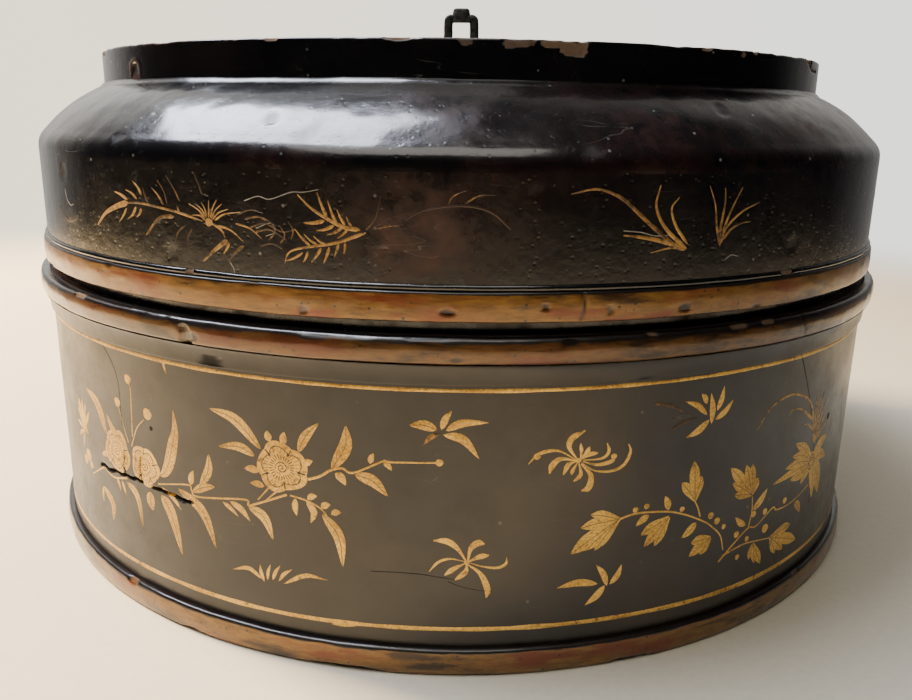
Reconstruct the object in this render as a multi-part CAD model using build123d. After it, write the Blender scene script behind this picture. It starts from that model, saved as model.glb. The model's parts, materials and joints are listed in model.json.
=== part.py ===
from build123d import *
import os
from math import cos, radians, sin

# Round lacquered hat box: a bent-wood drum, a stepped lid that lifts off, and a small iron bail on top.
# Millimetres. +Z is up, the origin is the centre of the footprint on the ground, and -Y is the front.

# Base drum
base_radius = 190.0            # outer face of the drum's bent wall
base_height = 116.0            # ground to the drum's rim
base_wall_thickness = 4.0
floor_thickness = 8.0
floor_lift = 1.5               # floor boards' underside above the ground
floor_plank_width = 124.0      # middle plank; the two outer ones take the rest
foot_height = 9.5
foot_proud = 3.0
foot_crown = 0.5               # how far a band's face bulges at mid-height
foot_round = 1.2
rim_height = 8.5
rim_proud = 4.0
rim_crown = 1.0
rim_round = 1.0
cove_height = 7.0
cove_proud = 3.0
cove_lip = 1.2                 # thickness of the cove strip's lower edge

# Inner hoop that locates the lid
inner_rim_thickness = 3.5
inner_rim_drop = 36.0          # glued length below the drum's rim
inner_rim_rise = 12.0          # free length above the drum's rim

# Lid
lid_gap = 4.2                  # open shadow line between the drum's rim and the lid's lower edge
lid_clearance = 0.5            # radial, lid wall over the inner hoop
lid_wall_thickness = 3.0
lid_wall_height = 43.8
lid_liner_thickness = 3.5
lid_rim_height = 9.3
lid_rim_proud = 1.8
lid_rim_crown = 0.3
lid_rim_round = 0.7
bead_height = 2.0
bead_proud = 0.9
shoulder_width = 27.5          # lid wall to collar
shoulder_rise = 25.2
shoulder_upright = 4.0         # short straight stretch below the crease
shoulder_bulge = 1.7           # crown of the shoulder's slope above its chord
shoulder_crease_round = 6.0
shoulder_edge = 7.0            # height glued to the collar
shoulder_foot_width = 5.5      # width of the lower face, over the lid wall and its liner
shoulder_cove = 1.6            # small hollow where the shoulder meets the collar
shoulder_lip = 0.2             # thickness of that hollow's upper edge
collar_height = 13.5           # above the shoulder
collar_thickness = 4.5
collar_round = 0.8
collar_drop = 11.0             # below the shoulder's top edge

# Top boards
top_thickness = 7.0            # at the rim
top_recess = 3.0               # edge of the boards below the collar's top
top_rise = 3.5                 # middle of the boards above their edge
top_flat_radius = 26.0         # level seat for the bail's plates
top_plank_width = 104.0

# Bamboo pins
pin_radius = 1.25
pin_cover = 0.3                # lacquer ground over each pin's outer end
floor_pin_length = 20.0
floor_pin_count = 12
top_pin_length = 15.0
top_pin_count = 8

# Bail and the two eyes that it swings in
bail_width = 16.5              # across the legs
bail_height = 21.6             # swing axis to the top of the boss
bail_leg_width = 3.5
bail_thickness = 3.2
bail_boss_height = 3.4         # boss above the bridge's shoulders
bail_boss_foot = 9.6
bail_boss_top = 6.6
bail_bridge = 2.0              # bridge under the boss
bail_shoulder_round = 2.2
bail_inner_round = 1.5
bail_soft_edge = 0.5
trunnion_radius = 1.6          # round end that turns in the eye
trunnion_head_radius = 2.4
trunnion_head_length = 1.4
trunnion_clearance = 0.08      # radial, trunnion in eye
side_play = 0.4                # along the swing axis, each side of an eye
eye_radius = 3.4
eye_width = 3.0
eye_soft_edge = 0.5
plate_radius = 5.2
plate_thickness = 0.8
shank_radius = 1.4
tail_length = 9.0
tail_width = 2.4
tail_thickness = 1.3

# Heights and radii that follow from the sizes above
base_inner_radius = base_radius - base_wall_thickness
floor_top = floor_lift + floor_thickness
rim_bottom = base_height - rim_height
cove_bottom = rim_bottom - cove_height
inner_rim_top = base_height + inner_rim_rise
lid_bottom = base_height + lid_gap
lid_inner_radius = base_inner_radius + lid_clearance
lid_radius = lid_inner_radius + lid_wall_thickness
lid_wall_top = lid_bottom + lid_wall_height
lid_rim_top = lid_bottom + lid_rim_height
shoulder_top = lid_wall_top + shoulder_rise
collar_radius = lid_radius - shoulder_width
collar_inner_radius = collar_radius - collar_thickness
collar_top = shoulder_top + collar_height
top_edge = collar_top - top_recess
top_underside = top_edge - top_thickness
top_middle = top_edge + top_rise
plate_top = top_middle + plate_thickness
swing_height = plate_top + eye_radius
eye_inner_side = bail_width / 2 + side_play
eye_middle = eye_inner_side + eye_width / 2
head_start = eye_inner_side + eye_width + side_play


# A closed outline in radius and height, turned once round the box's upright axis
def turned(outline):
    return revolve(make_face(Plane.XZ * outline), Axis.Z)


# A plain bent hoop of rectangular section
def hoop(inner, outer, bottom, top):
    return turned(Polyline((inner, bottom), (outer, bottom), (outer, top), (inner, top), close=True))


# A hoop whose outer face bulges by crown at mid-height, with its two outer edges rounded
def crowned_hoop(inner, outer, bottom, top, crown, edge_round):
    corner = outer - crown
    face = ThreePointArc((corner, bottom), (outer, (bottom + top) / 2), (corner, top))
    back = Polyline((corner, top), (inner, top), (inner, bottom), (corner, bottom))
    section = make_face(Curve() + [face, back])
    section = fillet(section.vertices().group_by(Axis.X)[-1], edge_round)
    return revolve(Plane.XZ * section, Axis.Z)


# Radial pins, their outer ends just under a hoop's outer face
def radial_pins(count, outer, length, height):
    pin = Plane.YZ * Pos(0, height, outer - pin_cover - length) * Cylinder(
        pin_radius, length, align=(Align.CENTER, Align.CENTER, Align.MIN)
    )
    return [Rot(0, 0, 360 * step / count) * pin for step in range(count)]


# A board glued up from three planks, parted by two upright planes either side of the middle plank
def planks(board, middle_width):
    reach = 4 * base_radius
    slab = Box(middle_width, reach, reach)
    beyond = Box(reach, reach, reach, align=(Align.MIN, Align.CENTER, Align.CENTER))
    right_side = Pos(middle_width / 2, 0, 0) * beyond
    left_side = Rot(0, 0, 180) * right_side
    return board & left_side, board & slab, board & right_side


def make_floor():
    board = hoop(0, base_inner_radius, floor_lift, floor_top)
    pins = radial_pins(floor_pin_count, base_radius, floor_pin_length, floor_lift + floor_thickness / 2)
    return board, pins


def make_base_wall(pins):
    return hoop(base_inner_radius, base_radius, 0, base_height) - pins


def make_foot_band():
    return crowned_hoop(base_radius, base_radius + foot_proud, 0, foot_height, foot_crown, foot_round)


def make_base_rim_band():
    return crowned_hoop(base_radius, base_radius + rim_proud, rim_bottom, base_height, rim_crown, rim_round)


# Hollow moulding that leads from the drum's wall out to the rim band
def make_base_cove():
    low = (base_radius + cove_lip, cove_bottom)
    high = (base_radius + cove_proud, rim_bottom)
    hollow = (base_radius + cove_lip + 0.25 * (cove_proud - cove_lip), cove_bottom + 0.6 * cove_height)
    back = Polyline(high, (base_radius, rim_bottom), (base_radius, cove_bottom), low)
    return turned(Curve() + [ThreePointArc(low, hollow, high), back])


def make_inner_rim():
    return hoop(
        base_inner_radius - inner_rim_thickness, base_inner_radius, base_height - inner_rim_drop, inner_rim_top
    )


def make_lid_wall():
    return hoop(lid_inner_radius, lid_radius, lid_bottom, lid_wall_top)


# Its lower edge rests on the top of the drum's inner hoop, which holds the shadow line open
def make_lid_liner():
    return hoop(lid_inner_radius - lid_liner_thickness, lid_inner_radius, inner_rim_top, lid_wall_top)


def make_lid_rim_band():
    return crowned_hoop(
        lid_radius, lid_radius + lid_rim_proud, lid_bottom, lid_rim_top, lid_rim_crown, lid_rim_round
    )


# Half-round bead just above the lid's rim band
def make_lid_bead():
    low = (lid_radius, lid_rim_top)
    high = (lid_radius, lid_rim_top + bead_height)
    face = ThreePointArc(low, (lid_radius + bead_proud, lid_rim_top + bead_height / 2), high)
    return turned(Curve() + [face, Line(high, low)])


# Carved ring from the lid wall up and in to the collar: crease, bulged slope, small hollow, glued edge
def make_shoulder():
    crease = Vector(lid_radius, lid_wall_top + shoulder_upright)
    slope_top = Vector(collar_radius + shoulder_cove + shoulder_lip, shoulder_top)
    chord = slope_top - crease
    lift = Vector(chord.Y, -chord.X).normalized() * shoulder_bulge
    slope = ThreePointArc(crease, (crease + slope_top) * 0.5 + lift, slope_top)
    cove_edge = Vector(collar_radius + shoulder_lip, shoulder_top + shoulder_cove)
    bend = Vector(1, 1) * shoulder_cove * (1 - cos(radians(45)))
    cove = ThreePointArc(slope_top, Vector(collar_radius + shoulder_lip, shoulder_top) + bend, cove_edge)
    back = Polyline(
        cove_edge,
        (collar_radius, cove_edge.Y),
        (collar_radius, shoulder_top - shoulder_edge),
        (lid_radius - shoulder_foot_width, lid_wall_top),
        (lid_radius, lid_wall_top),
        crease,
    )
    section = make_face(Curve() + [slope, cove, back])
    crease_corner = section.vertices().group_by(Axis.X)[-1].sort_by(Axis.Y)[-1]
    section = fillet(crease_corner, shoulder_crease_round)
    return revolve(Plane.XZ * section, Axis.Z)


def make_collar(pins):
    section = make_face(
        Polyline(
            (collar_inner_radius, shoulder_top - collar_drop),
            (collar_radius, shoulder_top - collar_drop),
            (collar_radius, collar_top),
            (collar_inner_radius, collar_top),
            close=True,
        )
    )
    section = fillet(section.vertices().group_by(Axis.Y)[-1], collar_round)
    return revolve(Plane.XZ * section, Axis.Z) - pins


# Flat underneath, gently domed on top round a level seat for the bail's plates
def make_top_board():
    dome = TangentArc((top_flat_radius, top_middle), (collar_inner_radius, top_edge), tangent=(1, 0))
    back = Polyline(
        (collar_inner_radius, top_edge),
        (collar_inner_radius, top_underside),
        (0, top_underside),
        (0, top_middle),
        (top_flat_radius, top_middle),
    )
    board = turned(Curve() + [dome, back])
    pins = radial_pins(top_pin_count, collar_radius, top_pin_length, (top_edge + top_underside) / 2)
    return board, pins


# Upright shank through a plate and the board beneath it
def make_shank():
    length = swing_height - trunnion_radius - top_underside + tail_thickness
    bottom = top_underside - tail_thickness
    return Pos(eye_middle, 0, bottom) * Cylinder(
        shank_radius, length - (eye_radius - trunnion_radius) / 2, align=(Align.CENTER, Align.CENTER, Align.MIN)
    )


# Small round plate that the shank passes through
def make_plate():
    disc = Pos(eye_middle, 0, top_middle + plate_thickness / 2) * Cylinder(plate_radius, plate_thickness)
    disc = fillet(disc.edges().group_by(Axis.Z)[-1], plate_thickness / 2)
    return disc - make_shank()


# Split pin: an eye on a shank, its two tails bent apart under the board
def make_eye_pin():
    ring = Pos(eye_middle, 0, swing_height) * Rot(0, 90, 0) * Cylinder(eye_radius, eye_width)
    ring = fillet(ring.edges().filter_by(GeomType.CIRCLE), eye_soft_edge)
    bore = Pos(eye_middle, 0, swing_height) * Rot(0, 90, 0) * Cylinder(
        trunnion_radius + trunnion_clearance, 2 * eye_width
    )
    tails = Pos(eye_middle, 0, top_underside) * Box(
        tail_width, 2 * tail_length, tail_thickness, align=(Align.CENTER, Align.CENTER, Align.MAX)
    )
    return ring + make_shank() + tails - bore


# Forged loop with a thick boss on its bridge, standing on two round ends that turn in the eyes
def make_bail():
    bridge_top = bail_height - bail_boss_height
    outer_half = bail_width / 2
    inner_half = outer_half - bail_leg_width
    loop = Pos(0, bridge_top / 2) * Rectangle(bail_width, bridge_top)
    loop = fillet(loop.vertices().group_by(Axis.Y)[-1], bail_shoulder_round)
    opening_top = bridge_top - bail_bridge
    opening = Pos(0, opening_top / 2 - bail_inner_round) * Rectangle(
        2 * inner_half, opening_top + 2 * bail_inner_round
    )
    opening = fillet(opening.vertices().group_by(Axis.Y)[-1], bail_inner_round)
    boss = make_face(
        Polyline(
            (-bail_boss_foot / 2, bridge_top - bail_bridge / 2),
            (bail_boss_foot / 2, bridge_top - bail_bridge / 2),
            (bail_boss_top / 2, bail_height),
            (-bail_boss_top / 2, bail_height),
            close=True,
        )
    )
    flat = extrude(Plane.XZ * (loop - opening + boss), bail_thickness / 2, both=True)
    flat = chamfer(flat.edges().filter_by(Plane.XZ), bail_soft_edge)
    bail = Pos(0, 0, swing_height) * flat
    for side in (-1, 1):
        knuckle = Cylinder(bail_thickness / 2, bail_leg_width)
        end = Cylinder(trunnion_radius, head_start - inner_half, align=(Align.CENTER, Align.CENTER, Align.MIN))
        head = Cylinder(
            trunnion_head_radius, trunnion_head_length, align=(Align.CENTER, Align.CENTER, Align.MIN)
        )
        head = fillet(head.edges().filter_by(GeomType.CIRCLE), bail_soft_edge)
        out = Pos(0, 0, swing_height) * Rot(0, 90 * side, 0)
        bail += out * Pos(0, 0, outer_half - bail_leg_width / 2) * knuckle
        bail += out * Pos(0, 0, inner_half) * end
        bail += out * Pos(0, 0, head_start) * head
    return bail


floor_board, floor_pins = make_floor()
floor_planks = planks(floor_board - floor_pins, floor_plank_width)
top_board, top_pins = make_top_board()
plate, eye_pin = make_plate(), make_eye_pin()
other_side = Rot(0, 0, 180)
shanks = [make_shank(), other_side * make_shank()]
top_planks = planks(top_board - top_pins - shanks, top_plank_width)

parts = {
    "floor_board_left": floor_planks[0],
    "floor_board_middle": floor_planks[1],
    "floor_board_right": floor_planks[2],
    "base_wall": make_base_wall(floor_pins),
    "foot_band": make_foot_band(),
    "base_rim_band": make_base_rim_band(),
    "base_cove_strip": make_base_cove(),
    "base_inner_rim": make_inner_rim(),
    "floor_pins": Compound(floor_pins),
    "lid_wall": make_lid_wall(),
    "lid_liner": make_lid_liner(),
    "lid_rim_band": make_lid_rim_band(),
    "lid_bead": make_lid_bead(),
    "lid_shoulder": make_shoulder(),
    "lid_collar": make_collar(top_pins),
    "top_board_left": top_planks[0],
    "top_board_middle": top_planks[1],
    "top_board_right": top_planks[2],
    "top_pins": Compound(top_pins),
    "plate_left": other_side * plate,
    "plate_right": plate,
    "eye_pin_left": other_side * eye_pin,
    "eye_pin_right": eye_pin,
    "bail": make_bail(),
}

os.makedirs("parts", exist_ok=True)
for name, shape in parts.items():
    export_step(shape, f"parts/{name}.step")
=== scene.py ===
import json
import math
import bpy
import numpy as np
from mathutils import Matrix, Vector

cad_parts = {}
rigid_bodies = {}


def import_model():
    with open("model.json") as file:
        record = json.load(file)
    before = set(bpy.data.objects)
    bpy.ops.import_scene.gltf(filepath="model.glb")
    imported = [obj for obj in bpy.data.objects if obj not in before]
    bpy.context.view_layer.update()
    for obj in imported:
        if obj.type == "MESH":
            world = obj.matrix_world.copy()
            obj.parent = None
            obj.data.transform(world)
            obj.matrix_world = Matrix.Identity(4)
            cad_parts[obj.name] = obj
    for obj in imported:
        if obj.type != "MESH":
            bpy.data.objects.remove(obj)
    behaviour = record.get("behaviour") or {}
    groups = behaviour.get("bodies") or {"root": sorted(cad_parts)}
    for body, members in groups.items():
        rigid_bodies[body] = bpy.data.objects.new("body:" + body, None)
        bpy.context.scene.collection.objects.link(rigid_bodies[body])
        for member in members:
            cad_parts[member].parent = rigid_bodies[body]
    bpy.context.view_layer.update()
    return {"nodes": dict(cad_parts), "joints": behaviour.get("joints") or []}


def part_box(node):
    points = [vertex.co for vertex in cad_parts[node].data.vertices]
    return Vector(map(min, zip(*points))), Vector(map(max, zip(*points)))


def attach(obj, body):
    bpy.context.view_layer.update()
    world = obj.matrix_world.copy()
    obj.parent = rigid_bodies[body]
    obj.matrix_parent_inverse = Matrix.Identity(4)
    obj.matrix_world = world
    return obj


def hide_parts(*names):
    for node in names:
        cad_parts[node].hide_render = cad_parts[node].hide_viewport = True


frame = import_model()
print("frame loaded,", len(frame["nodes"]), "nodes")

# Sizes below are millimetres; meshes are written in metres.
# Places round the box are (s, z): s is the way round the wall from the front, to the right, and z is the height.


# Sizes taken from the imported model.

def outerRadius(node):
    # the larger half width of the node's box
    low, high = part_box(node)
    return max(high.x, high.y, -low.x, -low.y) * 1000


def span(node):
    # lowest and highest height of the node
    low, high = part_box(node)
    return low.z * 1000, high.z * 1000


# Noise and curves.

def softNoise(points, size, seed):
    # random heights on a lattice of that size in space, blended by 3t^2 - 2t^3, from -1 to 1
    place = points / size
    cell = np.floor(place).astype(np.int64)
    part = place - cell
    part = part * part * (3 - 2 * part)
    total = np.zeros(points.shape[:-1])
    for corner in range(8):
        step = np.array([(corner >> k) & 1 for k in range(3)])
        at = cell + step
        code = (at[..., 0] * 73856093) ^ (at[..., 1] * 19349663) ^ (at[..., 2] * 83492791) ^ (seed * 7919 + 13)
        code = ((code ^ (code >> 13)) * 1274126177) & 0xffffffff
        code = (code ^ (code >> 16)) & 0xffff
        weight = np.prod(np.where(step == 1, part, 1 - part), axis=-1)
        total += weight * (code / 32767.5 - 1)
    return total


def layeredNoise(points, size, seed, layers=3):
    # noise added to itself at half the size and half the height, a few times
    return sum(softNoise(points, size / 2 ** k, seed + k) / 2 ** k for k in range(layers)) / 1.6


def ease(value, start, end):
    # 0 before start, 1 after end, 3t^2 - 2t^3 between; start may be the larger
    part = np.clip((value - start) / (end - start), 0, 1)
    return part * part * (3 - 2 * part)


def throughPoints(spots, count):
    # Catmull-Rom curve through the spots, sampled evenly in its parameter
    spots = np.asarray(spots, float)
    padded = np.vstack([2 * spots[0] - spots[1], spots, 2 * spots[-1] - spots[-2]])
    t = np.linspace(0, len(spots) - 1 - 1e-9, count)
    k = np.floor(t).astype(int)
    u = (t - k)[:, None]
    a, b, c, d = padded[k], padded[k + 1], padded[k + 2], padded[k + 3]
    return 0.5 * (2 * b + (c - a) * u + (2 * a - 5 * b + 4 * c - d) * u ** 2 + (3 * b - a - 3 * c + d) * u ** 3)


def farness(s, z, path):
    # shortest distance from each place to a line of straight runs
    path = np.asarray(path, float)
    best = np.full(s.shape, 1e9)
    for (s0, z0), (s1, z1) in zip(path[:-1], path[1:]):
        run = np.array([s1 - s0, z1 - z0])
        t = np.clip(((s - s0) * run[0] + (z - z0) * run[1]) / (run @ run), 0, 1)
        best = np.minimum(best, np.hypot(s - s0 - t * run[0], z - z0 - t * run[1]))
    return best


# Old bent hoops are a little out of round: each wave is (how many round the box, height, turn).
# The wall's own slow unevenness is a noise of that size and height.
bentHoop = {"waves": ((2, 0.30, 0.6), (3, 0.16, 2.1)), "unevenSize": 45, "uneven": 0.16, "seed": 5}


def sway(angle):
    # the sum of height * cos(count * angle + turn)
    return sum(height * np.cos(count * angle + turn) for count, height, turn in bentHoop["waves"])


def wrapped(angle, radius, height):
    # x = r sin a, y = -r cos a, so angle 0 is the front and grows to the right
    return np.stack([radius * np.sin(angle), -radius * np.cos(angle), height], axis=-1)


def swell(angle, radius, height):
    # sway plus the wall's own unevenness
    return sway(angle) + bentHoop["uneven"] * softNoise(wrapped(angle, radius, height), bentHoop["unevenSize"],
                                                        bentHoop["seed"])


# Colour, nodes and meshes.

def colour(code):
    # sRGB hex to linear: c/12.92 below 0.04045, else ((c + 0.055)/1.055)^2.4
    parts = [int(code[k:k + 2], 16) / 255 for k in (1, 3, 5)]
    return tuple(c / 12.92 if c <= 0.04045 else ((c + 0.055) / 1.055) ** 2.4 for c in parts) + (1.0,)


def put(tree, kind, inputs=None, **settings):
    # adds a node; an input that is a node or a socket is linked, any other is a plain value
    node = tree.nodes.new("ShaderNode" + kind)
    for key, value in settings.items():
        setattr(node, key, value)
    for key, value in (inputs or {}).items():
        if isinstance(value, bpy.types.Node):
            value = next(socket for socket in value.outputs if socket.enabled)
        if isinstance(value, bpy.types.NodeSocket):
            tree.links.new(value, node.inputs[key])
        else:
            node.inputs[key].default_value = value
    return node


def blankMaterial(name):
    material = bpy.data.materials.new(name)
    material.use_nodes = True
    tree = material.node_tree
    tree.nodes.clear()
    return material, tree, put(tree, "TexCoord").outputs["Object"]


def closeMaterial(material, tree, shading, bumps=()):
    # each bump is (height, its depth in mm, and a strength where it isn't 1), over the one before; below 0 it is sunk
    for height, depth, *strength in bumps:
        inputs = {"Height": height, "Strength": (strength or [1.0])[0], "Distance": abs(depth) / 1000}
        if "Normal" in shading:
            inputs["Normal"] = shading["Normal"]
        shading["Normal"] = put(tree, "Bump", inputs, invert=depth < 0)
    put(tree, "OutputMaterial", {"Surface": put(tree, "BsdfPrincipled", shading)})
    return material


sharpFrom = math.radians(48)


def makeMesh(name, corners, faces, material, marks=None):
    # corners in mm; marks are point values for the materials
    mesh = bpy.data.meshes.new(name)
    mesh.from_pydata((corners * 0.001).tolist(), [], faces)
    for mark, values in (marks or {}).items():
        layer = mesh.attributes.new(mark, "FLOAT", "POINT")
        layer.data.foreach_set("value", np.ascontiguousarray(values, dtype=np.float32).ravel())
    mesh.polygons.foreach_set("use_smooth", np.full(len(mesh.polygons), True))
    mesh.materials.append(material)
    mesh.validate()
    mesh.update()
    mesh.set_sharp_from_angle(angle=sharpFrom)
    piece = bpy.data.objects.new(name, mesh)
    bpy.context.scene.collection.objects.link(piece)
    return piece


def ringFaces(rows, columns, start=0, closedRows=False):
    # quads of a grid whose columns close on themselves; open rows get a lid at each end
    i = np.arange(rows if closedRows else rows - 1)[:, None]
    j = np.arange(columns)[None, :]
    nextI = (i + 1) % rows
    nextJ = (j + 1) % columns
    quads = np.stack(np.broadcast_arrays(i * columns + j, nextI * columns + j,
                                         nextI * columns + nextJ, i * columns + nextJ), axis=-1)
    faces = (quads.reshape(-1, 4) + start).tolist()
    if not closedRows:
        faces.append((np.arange(columns) + start).tolist())
        faces.append((np.arange(columns)[::-1] + (rows - 1) * columns + start).tolist())
    return faces


def finishPiece(piece, body, nodes):
    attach(piece, body)
    if nodes:
        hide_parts(*nodes)
    return piece


# Turned pieces.

def traceOutline(corners):
    # corners are (radius, height, rounding, step after it), anticlockwise: up the outside, down the inside.
    # Each corner is a curve b(t) = (1-t)^2 p + 2t(1-t) q + t^2 r, and each run between is cut into steps.
    spots = np.array([corner[:2] for corner in corners], float)
    bends = []
    for k, corner in enumerate(corners):
        here, before, after = spots[k], spots[k - 1], spots[(k + 1) % len(corners)]
        comeIn = (here - before) / np.linalg.norm(here - before)
        goOut = (after - here) / np.linalg.norm(after - here)
        cut = corner[2] * math.tan(math.acos(np.clip(comeIn @ goOut, -1, 1)) / 2)
        if cut < 1e-6:
            bends.append(here[None])
            continue
        t = np.linspace(0, 1, 5)[:, None]
        bends.append((1 - t) ** 2 * (here - comeIn * cut) + 2 * t * (1 - t) * here + t ** 2 * (here + goOut * cut))
    line = []
    for k, corner in enumerate(corners):
        start, end = bends[k][-1], bends[(k + 1) % len(corners)][0]
        steps = max(1, round(np.linalg.norm(end - start) / corner[3]))
        line += [bends[k], start + (end - start) * (np.arange(1, steps) / steps)[:, None]]
    line = np.vstack(line)
    apart = np.linalg.norm(line - np.roll(line, 1, axis=0), axis=1)
    return line[apart > 1e-3]


def roundAngles(radius, coarse, *fineParts):
    # angles all the way round; each fine part is (from s, to s, step)
    marks = [-math.pi * radius, math.pi * radius]
    for start, end, step in fineParts:
        marks += [start, end]
    marks = np.unique(marks)
    places = []
    for start, end in zip(marks[:-1], marks[1:]):
        middle = (start + end) / 2
        step = min([part[2] for part in fineParts if part[0] <= middle <= part[1]] + [coarse])
        count = max(1, round((end - start) / step))
        places.append(start + (end - start) * np.arange(count) / count)
    return np.concatenate(places) / radius


def turnPiece(name, outline, angles, radius, material, shape):
    # the outline carried round the box; shape moves each place and gives the marks
    a = np.repeat(angles[:, None], len(outline), axis=1)
    r = np.repeat(outline[None, :, 0], len(angles), axis=0)
    z = np.repeat(outline[None, :, 1], len(angles), axis=0)
    r, z, marks = shape(a, r, z, a * radius)
    corners = wrapped(a, r + swell(a, radius, z), z)
    faces = ringFaces(len(angles), len(outline), closedRows=True)
    return makeMesh(name, corners.reshape(-1, 3), faces, material, marks)


def hoopOutline(outside, thick, heights, corners, between=()):
    # a hoop's section, with its corners as (rounding, step after it): low and high outside, then high and low inside
    low, high = heights
    inside = outside - thick
    places = [(outside, low), (outside, high), (inside, high), (inside, low)]
    spots = [place + corner for place, corner in zip(places, corners)]
    return traceOutline(spots[:1] + list(between) + spots[1:])


def paintHidden(piece, isHidden):
    # the inside lacquer goes on the faces that isHidden picks by radius and by the normal's outward and upward part
    piece.data.materials.append(insideRed)
    centres = np.zeros(len(piece.data.polygons) * 3)
    normals = centres.copy()
    piece.data.polygons.foreach_get("center", centres)
    piece.data.polygons.foreach_get("normal", normals)
    centres, normals = centres.reshape(-1, 3) * 1000, normals.reshape(-1, 3)
    radius = np.hypot(centres[:, 0], centres[:, 1])
    outward = (centres[:, :2] * normals[:, :2]).sum(1) / radius
    piece.data.polygons.foreach_set("material_index", isHidden(radius, outward, normals[:, 2]).astype(np.int32))


def makeHoop(name, node, body, look, material, shape):
    # a hoop as wide and tall as its node; the faces deeper than "inside" under its outer face are red-brown
    radius = outerRadius(node)
    outline = hoopOutline(radius, look["thick"], span(node), look["corners"], look.get("between", ()))
    hoop = turnPiece(name, outline, roundAngles(radius, look["step"], *look.get("fine", ())), radius, material, shape)
    if "inside" in look:
        paintHidden(hoop, lambda far, outward, upward: (far < radius - look["inside"]) & (outward < 0.2))
    return finishPiece(hoop, body, [node])


chipEdge = {"noiseSize": 3.0, "broken": 0.5, "wide": 0.3, "uneven": 0.3, "fullDepth": 0.4}


def chipAway(s, z, chips, seed, radius):
    # each chip is (s, z, half width, half height, depth); its edge is broken by noise.
    # depth = d * ease(1 - distance in half sizes), and the ground shows less in a chip under the full depth
    depth = np.zeros(s.shape)
    shown = np.zeros(s.shape)
    rough = layeredNoise(wrapped(s / radius, radius, z), chipEdge["noiseSize"], seed)
    for s0, z0, wide, high, deep in chips:
        far = (np.abs((s - s0) / wide) ** 3 + np.abs((z - z0) / high) ** 3) ** (1 / 3)
        here = ease(1 - far + chipEdge["broken"] * rough, 0.0, chipEdge["wide"])
        depth = np.maximum(depth, deep * here * (1 + chipEdge["uneven"] * rough))
        shown = np.maximum(shown, here * min(1, deep / chipEdge["fullDepth"]))
    return depth, shown


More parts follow.
